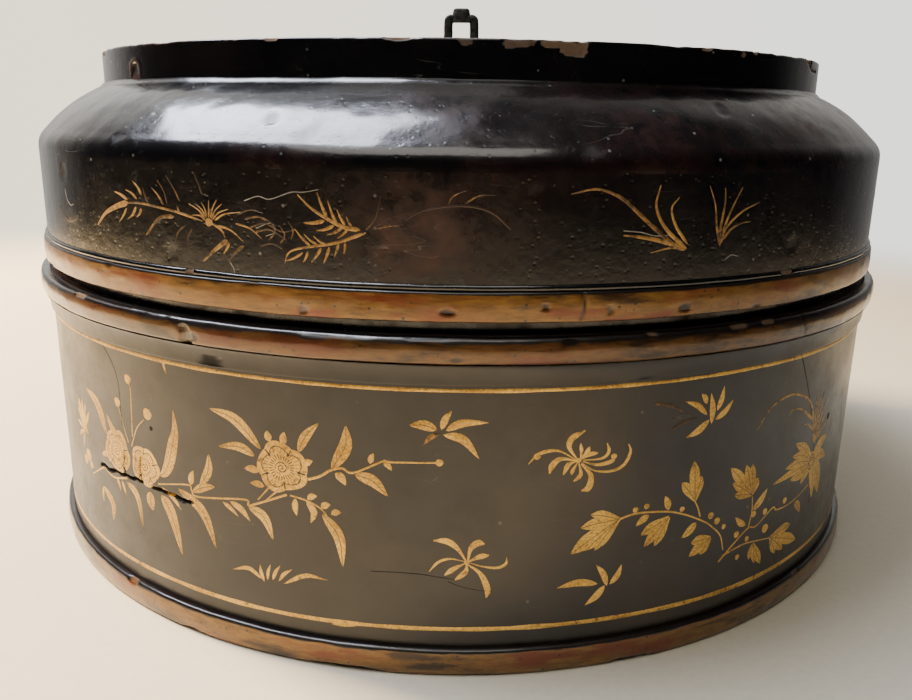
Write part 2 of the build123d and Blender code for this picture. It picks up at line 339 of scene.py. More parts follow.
# Roiro-like lacquer over bent wood, brushed and rubbed, then aged: near black, brown where it is thin,
# with a soft gloss, fine craze, hair scratches and settled dust.
def lacquer(name, look):
    material, tree, where = blankMaterial(name)
    # each noise is (size in mm, detail, roughness)
    sizes = {"thin": (look["patchSize"], 5, 0.6), "rubbing": (6, 6, 0.5), "some": (24, 2, 0.5),
             "grain": (1.6, 4, 0.5), "cloud": (18, 6, 0.65), "mottle": (3.2, 5, 0.7), "peel": (2.2, 4, 0.6),
             "wave": (13, 4, 0.55)}
    noise = {key: put(tree, "TexNoise", {"Vector": where, "Scale": 1000 / size, "Detail": detail, "Roughness": rough})
             for key, (size, detail, rough) in sizes.items()}
    # the rub mark is rubbing, and on the lid wall's front a painted reflection
    rubAndReflection, bare, deep = [put(tree, "Attribute", attribute_name=mark).outputs["Fac"] for mark in ("rubAndReflection", "bare", "deep")]
    thin = put(tree, "MapRange", {0: noise["thin"], 1: 0.46, 2: 0.68, 4: look["brownAmount"]},
               interpolation_type="SMOOTHSTEP")
    rubbing = put(tree, "MapRange", {0: noise["rubbing"], 1: 0.3, 2: 0.65})
    rubAndReflection = put(tree, "Math", {0: rubAndReflection, 1: rubbing}, operation="MULTIPLY")

    # hair scratches: thin ridges of a noise stretched along one slanted direction
    turned = put(tree, "Mapping", {"Vector": where, "Rotation": (0.5, 0.9, 0.4), "Scale": (26, 30, 170)})
    lines = put(tree, "TexNoise", {"Vector": turned, "Scale": 1.0, "Detail": 2.0, "Roughness": 0.4})
    lines = put(tree, "Math", {0: lines, 1: 0.5}, operation="SUBTRACT")
    lines = put(tree, "Math", {0: lines}, operation="ABSOLUTE")
    lines = put(tree, "MapRange", {0: lines, 1: 0.004, 2: 0.0})
    some = put(tree, "MapRange", {0: noise["some"], 1: 0.58, 2: 0.7, 4: look["scratches"]})
    lines = put(tree, "Math", {0: lines, 1: some}, operation="MULTIPLY")

    # dust: small round specks, only where their cell's own value lets them gather
    cells = put(tree, "TexVoronoi", {"Vector": where, "Scale": 1000 / look["dustSpacing"]})
    speck = put(tree, "MapRange", {0: cells, 1: 0.16, 2: 0.05})
    gather = put(tree, "SeparateColor", {0: cells.outputs["Color"]})
    gather = put(tree, "MapRange", {0: gather, 1: 1 - look["dust"], 2: 1.0})
    speck = put(tree, "Math", {0: speck, 1: gather}, operation="MULTIPLY")
    pale = put(tree, "Math", {0: speck, 1: lines}, operation="MAXIMUM")
    pale = put(tree, "Math", {0: pale, 1: 0.5}, operation="MULTIPLY")

    # ground under the lacquer, where a chip shows it, and the near black of the deep mark: painted shade in open cracks
    # and in the gap under the lid, and dark joints and knocks
    ground = put(tree, "Mix", {0: noise["grain"], 6: colour(look["groundDark"]), 7: colour(look["ground"])},
                 data_type="RGBA")
    bareSharp = put(tree, "MapRange", {0: bare, 1: 0.45, 2: 0.6})
    base = colour(look["black"])
    for share, over in ((thin, colour(look["brown"])), (rubAndReflection, colour(look["rubAndReflectionTint"])),
                        (pale, colour(look["dustColour"])), (bareSharp, ground), (deep, colour("#030202"))):
        base = put(tree, "Mix", {0: share, 6: base, 7: over}, data_type="RGBA")

    rough = put(tree, "MapRange", {0: noise["cloud"], 1: 0.34, 2: 0.66, 3: look["roughLow"], 4: look["roughHigh"]})
    mottle = put(tree, "MapRange", {0: noise["mottle"], 1: 0.45, 2: 0.7, 4: look["mottle"]})
    rough = put(tree, "Math", {0: rough, 1: mottle}, operation="ADD")
    for mark, more in ((pale, 0.5), (rubAndReflection, 0.30)):
        rough = put(tree, "Math", {0: mark, 1: more, 2: rough}, operation="MULTIPLY_ADD")
    dull = put(tree, "Math", {0: bareSharp, 1: deep}, operation="MAXIMUM")
    rough = put(tree, "Mix", {0: dull, 2: rough, 3: 0.9})
    coat = put(tree, "Math", {0: rubAndReflection, 1: dull}, operation="MAXIMUM")
    coat = put(tree, "MapRange", {0: coat, 1: 0.1, 2: 0.7, 3: look["coat"], 4: 0.0})

    # pits: some of the cells of a finer pattern, sunk
    pits = put(tree, "TexVoronoi", {"Vector": where, "Scale": 1000 / 1.9})
    pitHere = put(tree, "MapRange", {0: pits, 1: 0.34, 2: 0.1})
    pitSome = put(tree, "SeparateColor", {0: pits.outputs["Color"]}).outputs["Green"]
    pitSome = put(tree, "MapRange", {0: pitSome, 1: 0.62, 2: 0.7})
    pitHere = put(tree, "Math", {0: pitHere, 1: pitSome}, operation="MULTIPLY")
    return closeMaterial(material, tree, {
        "Base Color": base, "Roughness": rough, "IOR": 1.52, "Coat Weight": coat, "Coat Roughness": look["coatRough"]},
        ((noise["wave"], look["waveHeight"]), (noise["peel"], look["peelHeight"]), (pale, 0.06, 0.5),
         (pitHere, -look["pitDepth"])))


drumLacquer = lacquer("brownBlackLacquerOnDrum", {
    "black": "#15120d", "brown": "#2e2519", "rubAndReflectionTint": "#33201a", "brownAmount": 0.9, "patchSize": 70,
    "scratches": 0.45, "dust": 0.07, "dustSpacing": 5.0, "dustColour": "#8f8670", "ground": "#8b7a63",
    "groundDark": "#4a3a2c", "roughLow": 0.30, "roughHigh": 0.44, "mottle": 0.06, "waveHeight": 0.06,
    "peelHeight": 0.012, "pitDepth": 0.02, "coat": 0.15, "coatRough": 0.16})
lidLacquer = lacquer("blackLacquerOnLid", {
    "black": "#040406", "brown": "#100a0a", "rubAndReflectionTint": "#351a13", "brownAmount": 0.75, "patchSize": 55,
    "scratches": 0.35, "dust": 0.14, "dustSpacing": 4.0, "dustColour": "#a3a3a0", "ground": "#776352",
    "groundDark": "#3d3026", "roughLow": 0.17, "roughHigh": 0.25, "mottle": 0.05, "waveHeight": 0.22,
    "peelHeight": 0.05, "pitDepth": 0.05, "coat": 0.6, "coatRough": 0.12})


# Bronze powder dusted on wet lacquer, then rubbed: warm dull metal, copper and brown where it is worn,
# streaked along the hoop, with dark specks of the lacquer under it.
def bronzeLacquer(name, look):
    material, tree, where = blankMaterial(name)
    along = put(tree, "Mapping", {"Vector": where, "Scale": (1, 1, 4.5)})
    slow, mid, fine = [put(tree, "TexNoise", {"Vector": vector, "Scale": 1000 / size, "Detail": detail,
                                              "Roughness": rough})
                       for vector, size, detail, rough in ((along, 34, 6, 0.62), (along, 9, 6, 0.7),
                                                           (where, 1.3, 3, 0.5))]
    worn, bare, deep = [put(tree, "Attribute", attribute_name=mark).outputs["Fac"] for mark in ("worn", "bare", "deep")]
    ochreHere = put(tree, "MapRange", {0: mid, 1: 0.35, 2: 0.65})
    copperHere = put(tree, "MapRange", {0: slow, 1: 0.50, 2: 0.66}, interpolation_type="SMOOTHSTEP")
    brownHere = put(tree, "MapRange", {0: slow, 1: 0.50, 2: 0.36, 4: 0.9}, interpolation_type="SMOOTHSTEP")
    # the worn mark holds wear and also the painted shade on a band's upper part; the deep mark holds blots and the
    # painted shade in cracks
    worn = put(tree, "Math", {0: mid, 1: 0.9, 2: worn}, operation="MULTIPLY_ADD")
    worn = put(tree, "MapRange", {0: worn, 1: 0.86, 2: 1.12}, interpolation_type="SMOOTHSTEP")
    cells = put(tree, "TexVoronoi", {"Vector": where, "Scale": 1000 / 2.6})
    speck = put(tree, "MapRange", {0: cells, 1: 0.24, 2: 0.12})
    some = put(tree, "SeparateColor", {0: cells.outputs["Color"]})
    some = put(tree, "MapRange", {0: some, 1: 0.72, 2: 0.8})
    speck = put(tree, "Math", {0: speck, 1: some}, operation="MULTIPLY")
    dark = put(tree, "Math", {0: worn, 1: speck}, operation="MAXIMUM")
    bareSharp = put(tree, "MapRange", {0: bare, 1: 0.45, 2: 0.62})
    ground = put(tree, "Mix", {0: fine, 6: colour(look["groundDark"]), 7: colour(look["ground"])}, data_type="RGBA")
    base = colour(look["bronze"])
    for share, over in ((ochreHere, colour(look["ochre"])), (copperHere, colour(look["copper"])),
                        (brownHere, colour(look["brown"])), (dark, colour(look["under"])), (bareSharp, ground),
                        (deep, colour("#050302"))):
        base = put(tree, "Mix", {0: share, 6: base, 7: over}, data_type="RGBA")
    metal = put(tree, "Math", {0: dark, 1: bareSharp}, operation="MAXIMUM")
    metal = put(tree, "MapRange", {0: metal, 3: look["metal"], 4: 0.0})
    rough = put(tree, "MapRange", {0: mid, 1: 0.3, 2: 0.7, 3: look["roughLow"], 4: look["roughHigh"]})
    return closeMaterial(material, tree, {"Base Color": base, "Roughness": rough, "Metallic": metal,
                                          "Coat Weight": 0.6, "Coat Roughness": 0.1}, ((mid, 0.16), (fine, 0.03)))


bandBronze = bronzeLacquer("bronzePowderLacquerBand", {
    "bronze": "#62451f", "ochre": "#8a642a", "copper": "#6e3517", "brown": "#2b1b0e", "under": "#120b06",
    "ground": "#69543c", "groundDark": "#35281c", "metal": 0.5, "roughLow": 0.26, "roughHigh": 0.5})
rimBronze = bronzeLacquer("rubbedBronzeLacquerRim", {
    "bronze": "#4a3218", "ochre": "#6a4a22", "copper": "#552a12", "brown": "#1c110a", "under": "#0e0805",
    "ground": "#69543c", "groundDark": "#35281c", "metal": 0.5, "roughLow": 0.24, "roughHigh": 0.46})


# Gold powder painted over lacquer, with lines cut through it by a point: pale warm metal, rubbed thin in places.
def giltPaint(name, look):
    material, tree, where = blankMaterial(name)
    mark = {key: put(tree, "Attribute", attribute_name=key).outputs["Fac"]
            for key in ("across", "along", "veined", "cut", "fade")}
    wear, tone, powder, grit = [
        put(tree, "TexNoise", {"Vector": where, "Scale": 1000 / size, "Detail": detail, "Roughness": rough})
        for size, detail, rough in ((2.4, 5, 0.7), (14, 4, 0.5), (0.9, 4, 0.75), (0.5, 2, 0.5))]
    side = put(tree, "Math", {0: mark["across"]}, operation="ABSOLUTE")
    mid = put(tree, "MapRange", {0: side, 1: 0.17, 2: 0.08, 4: 0.8})
    # side veins lean forward, one every 2 mm: |fract((along - 1.3 side) / 2) - 0.5|
    lean = put(tree, "Math", {0: side, 1: -1.3, 2: mark["along"]}, operation="MULTIPLY_ADD")
    for operation, value in (("DIVIDE", 2.0), ("FRACT", 0.5), ("SUBTRACT", 0.5), ("ABSOLUTE", 0.5)):
        lean = put(tree, "Math", {0: lean, 1: value}, operation=operation)
    lean = put(tree, "MapRange", {0: lean, 1: 0.10, 2: 0.04, 4: 0.42})
    lines = put(tree, "Math", {0: mid, 1: lean}, operation="MAXIMUM")
    lines = put(tree, "Math", {0: lines, 1: mark["veined"]}, operation="MULTIPLY")
    cutSharp = put(tree, "MapRange", {0: mark["cut"], 1: 0.35, 2: 0.65})
    lines = put(tree, "Math", {0: lines, 1: cutSharp}, operation="MAXIMUM")
    limit = put(tree, "Math", {0: mark["fade"], 1: 0.30, 2: wear}, operation="MULTIPLY_ADD")
    gone = put(tree, "MapRange", {0: limit, 1: 0.57, 2: 0.70, 4: 0.85})
    gone = put(tree, "Math", {0: gone, 1: lines}, operation="MAXIMUM")
    tone = put(tree, "Math", {0: powder, 1: 1.6, 2: tone}, operation="MULTIPLY_ADD")
    tone = put(tree, "MapRange", {0: tone, 1: 1.0, 2: 1.55})
    base = colour(look["deepGold"])
    for share, over in ((tone, "paleGold"), (mark["fade"], "faded"), (gone, "under")):
        base = put(tree, "Mix", {0: share, 6: base, 7: colour(look[over])}, data_type="RGBA")
    metal = put(tree, "MapRange", {0: gone, 3: look["metal"], 4: 0.0})
    rough = put(tree, "MapRange", {0: grit, 1: 0.3, 2: 0.7, 3: 0.34, 4: 0.5})
    return closeMaterial(material, tree, {"Base Color": base, "Roughness": rough, "Metallic": metal},
                         ((lines, -0.08), (grit, 0.02)))


sprayGold = giltPaint("goldPowderPaint", {
    "deepGold": "#a57a2b", "paleGold": "#edc162", "faded": "#6e4220", "under": "#1b150e", "metal": 0.35})
# The same paint on the lid, handled more: darker and duller.
lidGold = giltPaint("rubbedGoldPaintOnLid", {
    "deepGold": "#86642c", "paleGold": "#cfa560", "faded": "#5c3419", "under": "#120c0a", "metal": 0.3})


# Plain turned-wood lacquer inside the box: dull red-brown, brush marks along the hoop, rubbed and dusty.
def innerLacquer(name, look):
    material, tree, where = blankMaterial(name)
    along = put(tree, "Mapping", {"Vector": where, "Scale": (1, 1, 6)})
    brush, patch, fine = [
        put(tree, "TexNoise", {"Vector": vector, "Scale": 1000 / size, "Detail": detail, "Roughness": rough})
        for vector, size, detail, rough in ((along, 16, 6, 0.65), (where, 60, 5, 0.5), (along, 4, 4, 0.5))]
    redHere = put(tree, "MapRange", {0: patch, 1: 0.38, 2: 0.64})
    wornHere = put(tree, "MapRange", {0: brush, 1: 0.56, 2: 0.7, 4: 0.5})
    base = colour(look["dark"])
    for share, over in ((redHere, "red"), (wornHere, "worn")):
        base = put(tree, "Mix", {0: share, 6: base, 7: colour(look[over])}, data_type="RGBA")
    rough = put(tree, "MapRange", {0: brush, 1: 0.3, 2: 0.7, 3: 0.42, 4: 0.62})
    return closeMaterial(material, tree, {"Base Color": base, "Roughness": rough, "IOR": 1.52, "Coat Weight": 0.15,
                                          "Coat Roughness": 0.3}, ((brush, 0.12), (fine, 0.03)))


insideRed = innerLacquer("redBrownLacquerInside", {"dark": "#1a0d0a", "red": "#34150f", "worn": "#472a1e"})


# Hand-forged iron, oiled and browned: dark grey scale, brown rust in the hollows, hammered unevenness.
def forgedIron(name):
    material, tree, where = blankMaterial(name)
    pits = put(tree, "TexNoise", {"Vector": where, "Scale": 1000 / 1.4, "Detail": 6.0, "Roughness": 0.7})
    blows = put(tree, "TexVoronoi", {"Vector": where, "Scale": 1000 / 2.4}, feature="SMOOTH_F1")
    rust = put(tree, "MapRange", {0: pits, 1: 0.5, 2: 0.68}, interpolation_type="SMOOTHSTEP")
    base = put(tree, "Mix", {0: rust, 6: colour("#383a34"), 7: colour("#4a3524")}, data_type="RGBA")
    metal = put(tree, "MapRange", {0: rust, 3: 0.65, 4: 0.15})
    rough = put(tree, "MapRange", {0: pits, 1: 0.3, 2: 0.7, 3: 0.42, 4: 0.75})
    return closeMaterial(material, tree, {"Base Color": base, "Roughness": rough, "Metallic": metal},
                         ((blows, 0.4), (pits, 0.12)))


iron = forgedIron("brownedForgedIron")


# A dull stuff of two colours mixed by one noise, such as bamboo fibre, the painted shade in a crack, or lint.
def dullStuff(name, size, detail, codes, roughness, height=0):
    material, tree, where = blankMaterial(name)
    fibre = put(tree, "TexNoise", {"Vector": where, "Scale": 1000 / size, "Detail": detail})
    base = put(tree, "Mix", {0: fibre, 6: colour(codes[0]), 7: colour(codes[1])}, data_type="RGBA")
    rough = put(tree, "MapRange", {0: fibre, 3: roughness[0], 4: roughness[1]})
    return closeMaterial(material, tree, {"Base Color": base, "Roughness": rough}, ((fibre, height),) if height else ())


bamboo = dullStuff("splitBamboo", 0.8, 4.0, ("#6f4f2a", "#b58f54"), (0.5, 0.75), 0.1)
crackShade = dullStuff("openCrackShade", 1.0, 3.0, ("#020202", "#0d0a08"), (0.7, 0.95))
lintFluff = dullStuff("settledLint", 2.0, 2.0, ("#4e4a44", "#b3aea4"), (0.8, 1.0))
print("materials made")


# Camera: just above the box's middle height, tipped down.

view = {"place": (0.0, -0.441, 0.1803), "down": 15.30, "roll": 0.93, "lens": 34.07}
camera = bpy.data.objects.new("camera", bpy.data.cameras.new("camera"))
camera.data.lens = view["lens"]
camera.data.sensor_width = 36
camera.data.clip_start = 0.01
camera.matrix_world = (Matrix.Translation(view["place"])
                       @ Matrix.Rotation(math.radians(90 - view["down"]), 4, "X")
                       @ Matrix.Rotation(math.radians(view["roll"]), 4, "Z"))
bpy.context.scene.collection.objects.link(camera)
bpy.context.scene.camera = camera


drumRadius = outerRadius("base_wall")
lidRadius = outerRadius("lid_wall")


# Wall: one bent board. A crack runs across the left spray; the upper lip has lifted and the lower one sunk.
wall = {
    "crack": [(-149.5, 49.0), (-147.7, 49.4), (-144, 48.5), (-141.2, 48.8), (-137, 50.2), (-133, 49.6), (-130, 50.7),
              (-126, 50.1), (-123, 51.1), (-120.4, 50.4), (-117, 50.9), (-113, 50.0), (-109, 50.5), (-105, 50.1),
              (-101, 50.0), (-98, 49.2), (-94, 49.5)],
    "splits": [[(-130, 50.5), (-130.4, 55), (-129.8, 59)], [(-119.6, 50.5), (-119.9, 55), (-119.2, 60)]],
    "open": 1.3, "gap": (0.30, 0.85), "lift": 0.35, "sink": 0.2, "rim": span("base_wall")[1]}


def drumOffset(s, z):
    # how far the face stands out round the crack, and how open it is there
    edge = 0.35 * layeredNoise(wrapped(s / drumRadius, drumRadius, z), 4, 21)
    far = farness(s + 0.8 * edge, z + edge, wall["crack"])
    gap = 1 - ease(far, *wall["gap"])
    lifted = ease(s, -152, -140) * (1 - ease(s, -112, -92))
    above = ease(z, 50.0, 51.2) * (1 - ease(z, 51.5, 62))
    below = (1 - ease(z, 50, 50.6)) * (1 - ease(far, 1, 7))
    out = lifted * above * wall["lift"] - wall["open"] * gap - wall["sink"] * lifted * below
    for split in wall["splits"]:
        splitGap = 1 - ease(farness(s, z, split), 0.2, 0.7)
        out = out - splitGap
        gap = np.maximum(gap, splitGap)
    return out, gap


def wallShape(a, r, z, s):
    # the outer face moves by drumOffset; the open cracks and the wall's top face, in the gap under the lid, are painted
    # near black as shade
    outside = ease(r, drumRadius - 2.0, drumRadius - 0.6)
    out, gap = drumOffset(s, z)
    gapShadeOnTop = ease(z, wall["rim"] - 0.7, wall["rim"] - 0.1)
    return r + outside * out, z, {"deep": np.maximum(gap * outside, 0.7 * gapShadeOnTop), "bare": 0 * z, "rubAndReflection": 0 * z}


makeHoop("drumWall", "base_wall", "base", {
    "thick": drumRadius - outerRadius("base_inner_rim"), "inside": 1.2, "step": 2.4, "fine": [(-156, -88, 0.7)],
    "corners": ((0.6, 3.0), (0.8, 1.4), (0.8, 9.0), (0.6, 1.4)),
    "between": [(drumRadius, 45.5, 0, 0.42), (drumRadius, 60.5, 0, 3.0)]}, drumLacquer, wallShape)


# Bands are bent strips of wood with a rounded face. Their edges are rubbed to the dark lacquer, and their upper part is
# darkened as painted shade.
bandWear = {"unevenSize": 9, "uneven": 0.22, "edgeLoss": 0.25, "waverSize": 26, "waver": 0.5, "markDepth": 0.35,
            "crackHalf": (0.15, 0.75)}


def bandShape(look):
    low, high = look["height"]
    radius, under = look["radius"], look["under"]

    def shape(a, r, z, s):
        # r rises by crown * 4t(1-t) over the face's height t, less the worn edges, chips, cracks and blots;
        # worn is half the edge, a quarter of the unevenness and 0.55 of the upper part, which is painted shade
        tall = (z - low) / (high - low)
        outside = ease(r, under + 0.4 * (radius - under), under + 0.75 * (radius - under))
        place = wrapped(a, radius, z)
        r = r + outside * look["crown"] * (4 * tall * (1 - tall) - 1)
        depth, shown = chipAway(s, z, look["chips"], look["seed"], radius)
        edge = 1 - np.minimum(ease(tall, 0.0, look["rubWidth"]), ease(1 - tall, 0.0, look["rubWidth"]))
        uneven = layeredNoise(place, bandWear["unevenSize"], look["seed"] + 7)
        r = r + outside * (bandWear["uneven"] * uneven - depth - bandWear["edgeLoss"] * edge * np.maximum(uneven, 0))
        waver = bandWear["waver"] * layeredNoise(place, bandWear["waverSize"], look["seed"] + 3)
        z = z + (tall - 0.5) * waver * ease(np.abs(tall - 0.5), 0.2, 0.5)
        z = np.maximum(z, 0)
        deep = np.zeros(s.shape)
        for line in look["cracks"]:
            deep = np.maximum(deep, 1 - ease(farness(s + 0.4 * uneven, z, line), *bandWear["crackHalf"]))
        for s0, z0, wide, deepHalf in look["blots"]:
            near = 1 - np.hypot((s - s0) / wide, (z - z0) / deepHalf) + 0.5 * uneven
            deep = np.maximum(deep, 0.9 * ease(near, 0.0, 0.35))
        r = r - outside * bandWear["markDepth"] * deep
        # the upper part of the band, darkened as painted shade
        upper = ease(tall, 1 - look["shadedTopShare"] * (1 + 0.5 * uneven), 1 - 0.3 * look["shadedTopShare"])
        worn = np.clip(0.5 * edge + 0.25 * uneven + 0.55 * upper, 0, 1)
        return r, z, {"worn": worn, "bare": shown * outside, "deep": deep * outside}
    return shape


def makeBand(name, node, body, look, fine):
    # a band as wide and tall as its node, from the radius under it outwards
    low, high = span(node)
    look = dict(look, height=(low, high), radius=outerRadius(node))
    outline = hoopOutline(look["radius"], look["radius"] - look["under"], (low, high),
                          ((look["rounding"], 0.55), (look["rounding"], 0.8), (0.2, 3.0), (0.2, 0.8)))
    angles = roundAngles(look["radius"], 1.9, *fine)
    band = turnPiece(name, outline, angles, look["radius"], look["material"], bandShape(look))
    return finishPiece(band, body, [node])


makeBand("footBand", "foot_band", "base", {
    "under": drumRadius, "crown": 0.5, "rounding": 1.2, "rubWidth": 0.24, "shadedTopShare": 0.2, "seed": 31,
    "material": bandBronze, "slot": "gilt_lacquer",
    "chips": [(-130, 9.6, 3.4, 2.0, 0.8), (-38, 0.2, 14, 1.2, 0.7), (62, 0.4, 8, 1.3, 0.6), (150, 9.4, 3, 1.5, 0.6),
              (-96, 0.3, 6, 1.2, 0.6), (300, 0.3, 9, 1.6, 0.7), (430, 9.5, 5, 1.5, 0.6), (-260, 9.6, 4, 1.6, 0.7)],
    "cracks": [[(214, -1), (215.5, 5), (214.6, 11)]], "blots": [(-30, 0.4, 9, 1.2), (-44, 0.3, 6, 1.0)]},
    [(-200, 200, 1.0)])

makeBand("drumRimBand", "base_rim_band", "base", {
    "under": drumRadius, "crown": 1.0, "rounding": 1.0, "rubWidth": 0.20, "shadedTopShare": 0.5, "seed": 41,
    "material": rimBronze, "slot": "gilt_lacquer",
    "chips": [(-90, 110.5, 2.6, 3.2, 1.0), (96, 115.7, 4.0, 1.2, 0.7), (110, 115.8, 3.6, 1.2, 0.7),
              (62, 115.9, 2.5, 0.9, 0.5), (-150, 115.8, 4, 1.2, 0.6), (240, 115.7, 7, 1.6, 0.8),
              (-330, 115.6, 9, 1.6, 0.8), (470, 108, 6, 1.4, 0.6)],
    "cracks": [[(127, 117), (128.4, 113), (129.6, 110.5), (131, 107)], [(-226, 117), (-224.5, 112), (-225.4, 107)]],
    "blots": [(-86.5, 110.4, 2.2, 1.6), (-99, 115.8, 1.6, 1.4), (-111, 115.2, 4.5, 1.0), (34.5, 114.6, 4.2, 1.4),
              (-36, 115.6, 13, 0.9), (-8, 115.8, 7, 0.8), (0, 109.3, 2.4, 1.0)]},
    [(-200, 200, 0.9)])

makeBand("lidRimBand", "lid_rim_band", "lid", {
    "under": lidRadius, "crown": 0.3, "rounding": 0.7, "rubWidth": 0.16, "shadedTopShare": 0.15, "seed": 51,
    "material": bandBronze, "slot": "gilt_lacquer",
    "chips": [(-47, 122.4, 1.6, 1.8, 0.5), (47, 123.5, 1.0, 1.8, 0.4), (-190, 120.6, 6, 1.3, 0.6),
              (270, 120.8, 7, 1.4, 0.6), (-400, 129, 4, 1.1, 0.5)],
    "cracks": [[(38, 121), (38.6, 125), (37.8, 130)], [(205, 120), (206, 125), (204.8, 130)]],
    "blots": [(-3, 123.4, 3.0, 1.4), (26.5, 125, 1.2, 1.1), (73, 122.8, 2.6, 1.5), (-128, 128.8, 3, 0.9),
              (-64, 128.9, 5, 0.8), (104, 121, 4, 0.9)]},
    [(-200, 200, 0.9)])

makeBand("lidBead", "lid_bead", "lid", {
    "under": lidRadius, "crown": 0.25, "rounding": 0.7, "rubWidth": 0.3, "shadedTopShare": 0.2, "seed": 61,
    "material": lidLacquer, "slot": "black_lacquer", "chips": [(-88, 130.6, 2.0, 1.2, 0.4), (118, 130.8, 3, 1.0, 0.4)],
    "cracks": [], "blots": []},
    [(-200, 200, 1.2)])


# Hollow moulding under the rim band: r = lip at the bottom, sweeping out in a quarter ellipse to the band.
cove = {"low": span("base_cove_strip")[0], "high": span("base_cove_strip")[1], "lip": 1.2,
        "proud": outerRadius("base_cove_strip") - drumRadius}
turns = np.linspace(0, 1, 9)
coveFace = [(drumRadius + cove["lip"] + (cove["proud"] - cove["lip"]) * (1 - math.cos(t * math.pi / 2)),
             cove["low"] + 0.8 + (cove["high"] - cove["low"] - 0.8) * math.sin(t * math.pi / 2) ** 0.9, 0, 0.8)
            for t in turns]
coveOutline = traceOutline([(drumRadius, cove["low"], 0, 0.6), (drumRadius + cove["lip"], cove["low"], 0.4, 0.5)]
                           + coveFace + [(drumRadius, cove["high"], 0, 2.0)])


def coveShape(a, r, z, s):
    # the hollow face moves by a little noise and by its knocks
    outside = ease(r, drumRadius + 0.3, drumRadius + 1.0)
    uneven = layeredNoise(wrapped(a, drumRadius, z), 8, 71)
    blot, shown = chipAway(s, z, [(-81, 102.5, 4.5, 2.0, 0.4), (60, 101, 3, 1.0, 0.3), (-250, 101.5, 5, 1.5, 0.4)],
                           73, drumRadius)
    return r + outside * (0.12 * uneven - blot), z, {"deep": shown * 0.8, "bare": 0 * z, "rubAndReflection": 0 * z}


coveStrip = turnPiece("coveStrip", coveOutline, roundAngles(drumRadius, 2.0), drumRadius, drumLacquer, coveShape)
finishPiece(coveStrip, "base", ["base_cove_strip"])


def plainShape(seed, size=7, height=0.12):
    # a hand-finished face: noise of that size and height, rubbed along the upper edge
    def shape(a, r, z, s):
        uneven = layeredNoise(wrapped(a, r, z), size, seed)
        return r + height * uneven, z, {"bare": 0 * z, "deep": 0 * z, "rubAndReflection": np.clip(0.4 + uneven, 0, 1)}
    return shape


# Inner hoop that locates the lid: black outside and on its edge, red-brown inside.
makeHoop("innerHoop", "base_inner_rim", "base", {
    "thick": 3.5, "inside": 0.9, "step": 2.4, "corners": ((0.4, 3.0), (1.1, 1.0), (1.1, 4.0), (0.8, 1.0))},
    lidLacquer, plainShape(81))


# Boards: a disc sawn in three, glued edge to edge; each joint has a fine sunk line.
boardFace = {"jointDepth": 0.22, "jointHalf": 0.5, "darkHalf": 0.7, "unevenSize": 30, "uneven": 0.10, "seed": 91}


def makeBoard(name, node, body, look, topHeight, underside, material):
    # rows of places from edge to edge, y = v * sqrt(radius^2 - x^2); at a joint the top sinks by depth * e^-(x/half)^2
    low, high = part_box(node)
    radius = look["radius"]
    u = (1 - np.cos(np.linspace(0, math.pi, look["across"]))) / 2
    x = low.x * 1000 + (high.x - low.x) * 1000 * u
    half = np.sqrt(np.maximum(radius ** 2 - x ** 2, 4.0))
    v = np.sin(np.linspace(-math.pi / 2, math.pi / 2, look["along"]))
    xTop = np.repeat(x[None], look["along"], axis=0)
    yTop = v[:, None] * half[None]
    joint = np.minimum(np.abs(xTop - look["joint"]), np.abs(xTop + look["joint"]))
    flat = np.stack([xTop, yTop, 0 * xTop], axis=-1)
    sunkLine = boardFace["jointDepth"] * np.exp(-(joint / boardFace["jointHalf"]) ** 2)
    uneven = boardFace["uneven"] * layeredNoise(flat, boardFace["unevenSize"], boardFace["seed"])
    top = topHeight(np.hypot(xTop, yTop)) - sunkLine + uneven
    angle = np.arctan2(xTop, -yTop)
    out = np.hypot(xTop, yTop) / radius
    push = sway(angle) * out ** 2 / radius
    xTop, yTop = xTop * (1 + push), yTop * (1 + push)
    upper = np.stack([xTop, yTop, top], axis=-1)
    lower = np.stack([xTop, yTop, np.full_like(xTop, underside)], axis=-1)
    section = np.concatenate([upper, lower[:, ::-1]], axis=1)
    corners = section[::-1].reshape(-1, 3)
    sunk = np.exp(-(joint / boardFace["darkHalf"]) ** 4)
    sunk = np.concatenate([sunk, sunk[:, ::-1]], axis=1)[::-1].ravel()
    board = makeMesh(name, corners, ringFaces(section.shape[0], section.shape[1]), material,
                     {"bare": 0 * sunk, "deep": sunk, "rubAndReflection": 0 * sunk})
    return finishPiece(board, body, [node])


floorLook = {"radius": outerRadius("base_inner_rim"), "joint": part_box("floor_board_middle")[1].x * 1000,
             "across": 26, "along": 70}
for side in ("left", "middle", "right"):
    node = "floor_board_" + side
    makeBoard("floorBoard_" + side, node, "base", floorLook, lambda out: span("floor_board_middle")[1] + 0 * out,
              span(node)[0], insideRed)
print("drum made")


# Wall: dark lacquer, with a brown patch in front that is a painted reflection; a few shallow knocks.
lidWallLook = {
    "thick": lidRadius - outerRadius("lid_liner"), "inside": 1.0, "step": 1.9,
    "corners": ((0.5, 2.2), (0, 1.5), (0, 5.0), (0.5, 1.5)),
    "knocks": [(-96, 136, 2.0, 1.6, 0.25), (22, 160, 2.6, 1.4, 0.2), (120, 140, 2.2, 1.8, 0.25),
               (-160, 158, 3, 2, 0.3), (260, 150, 4, 3, 0.4), (-320, 140, 4, 2, 0.3)]}


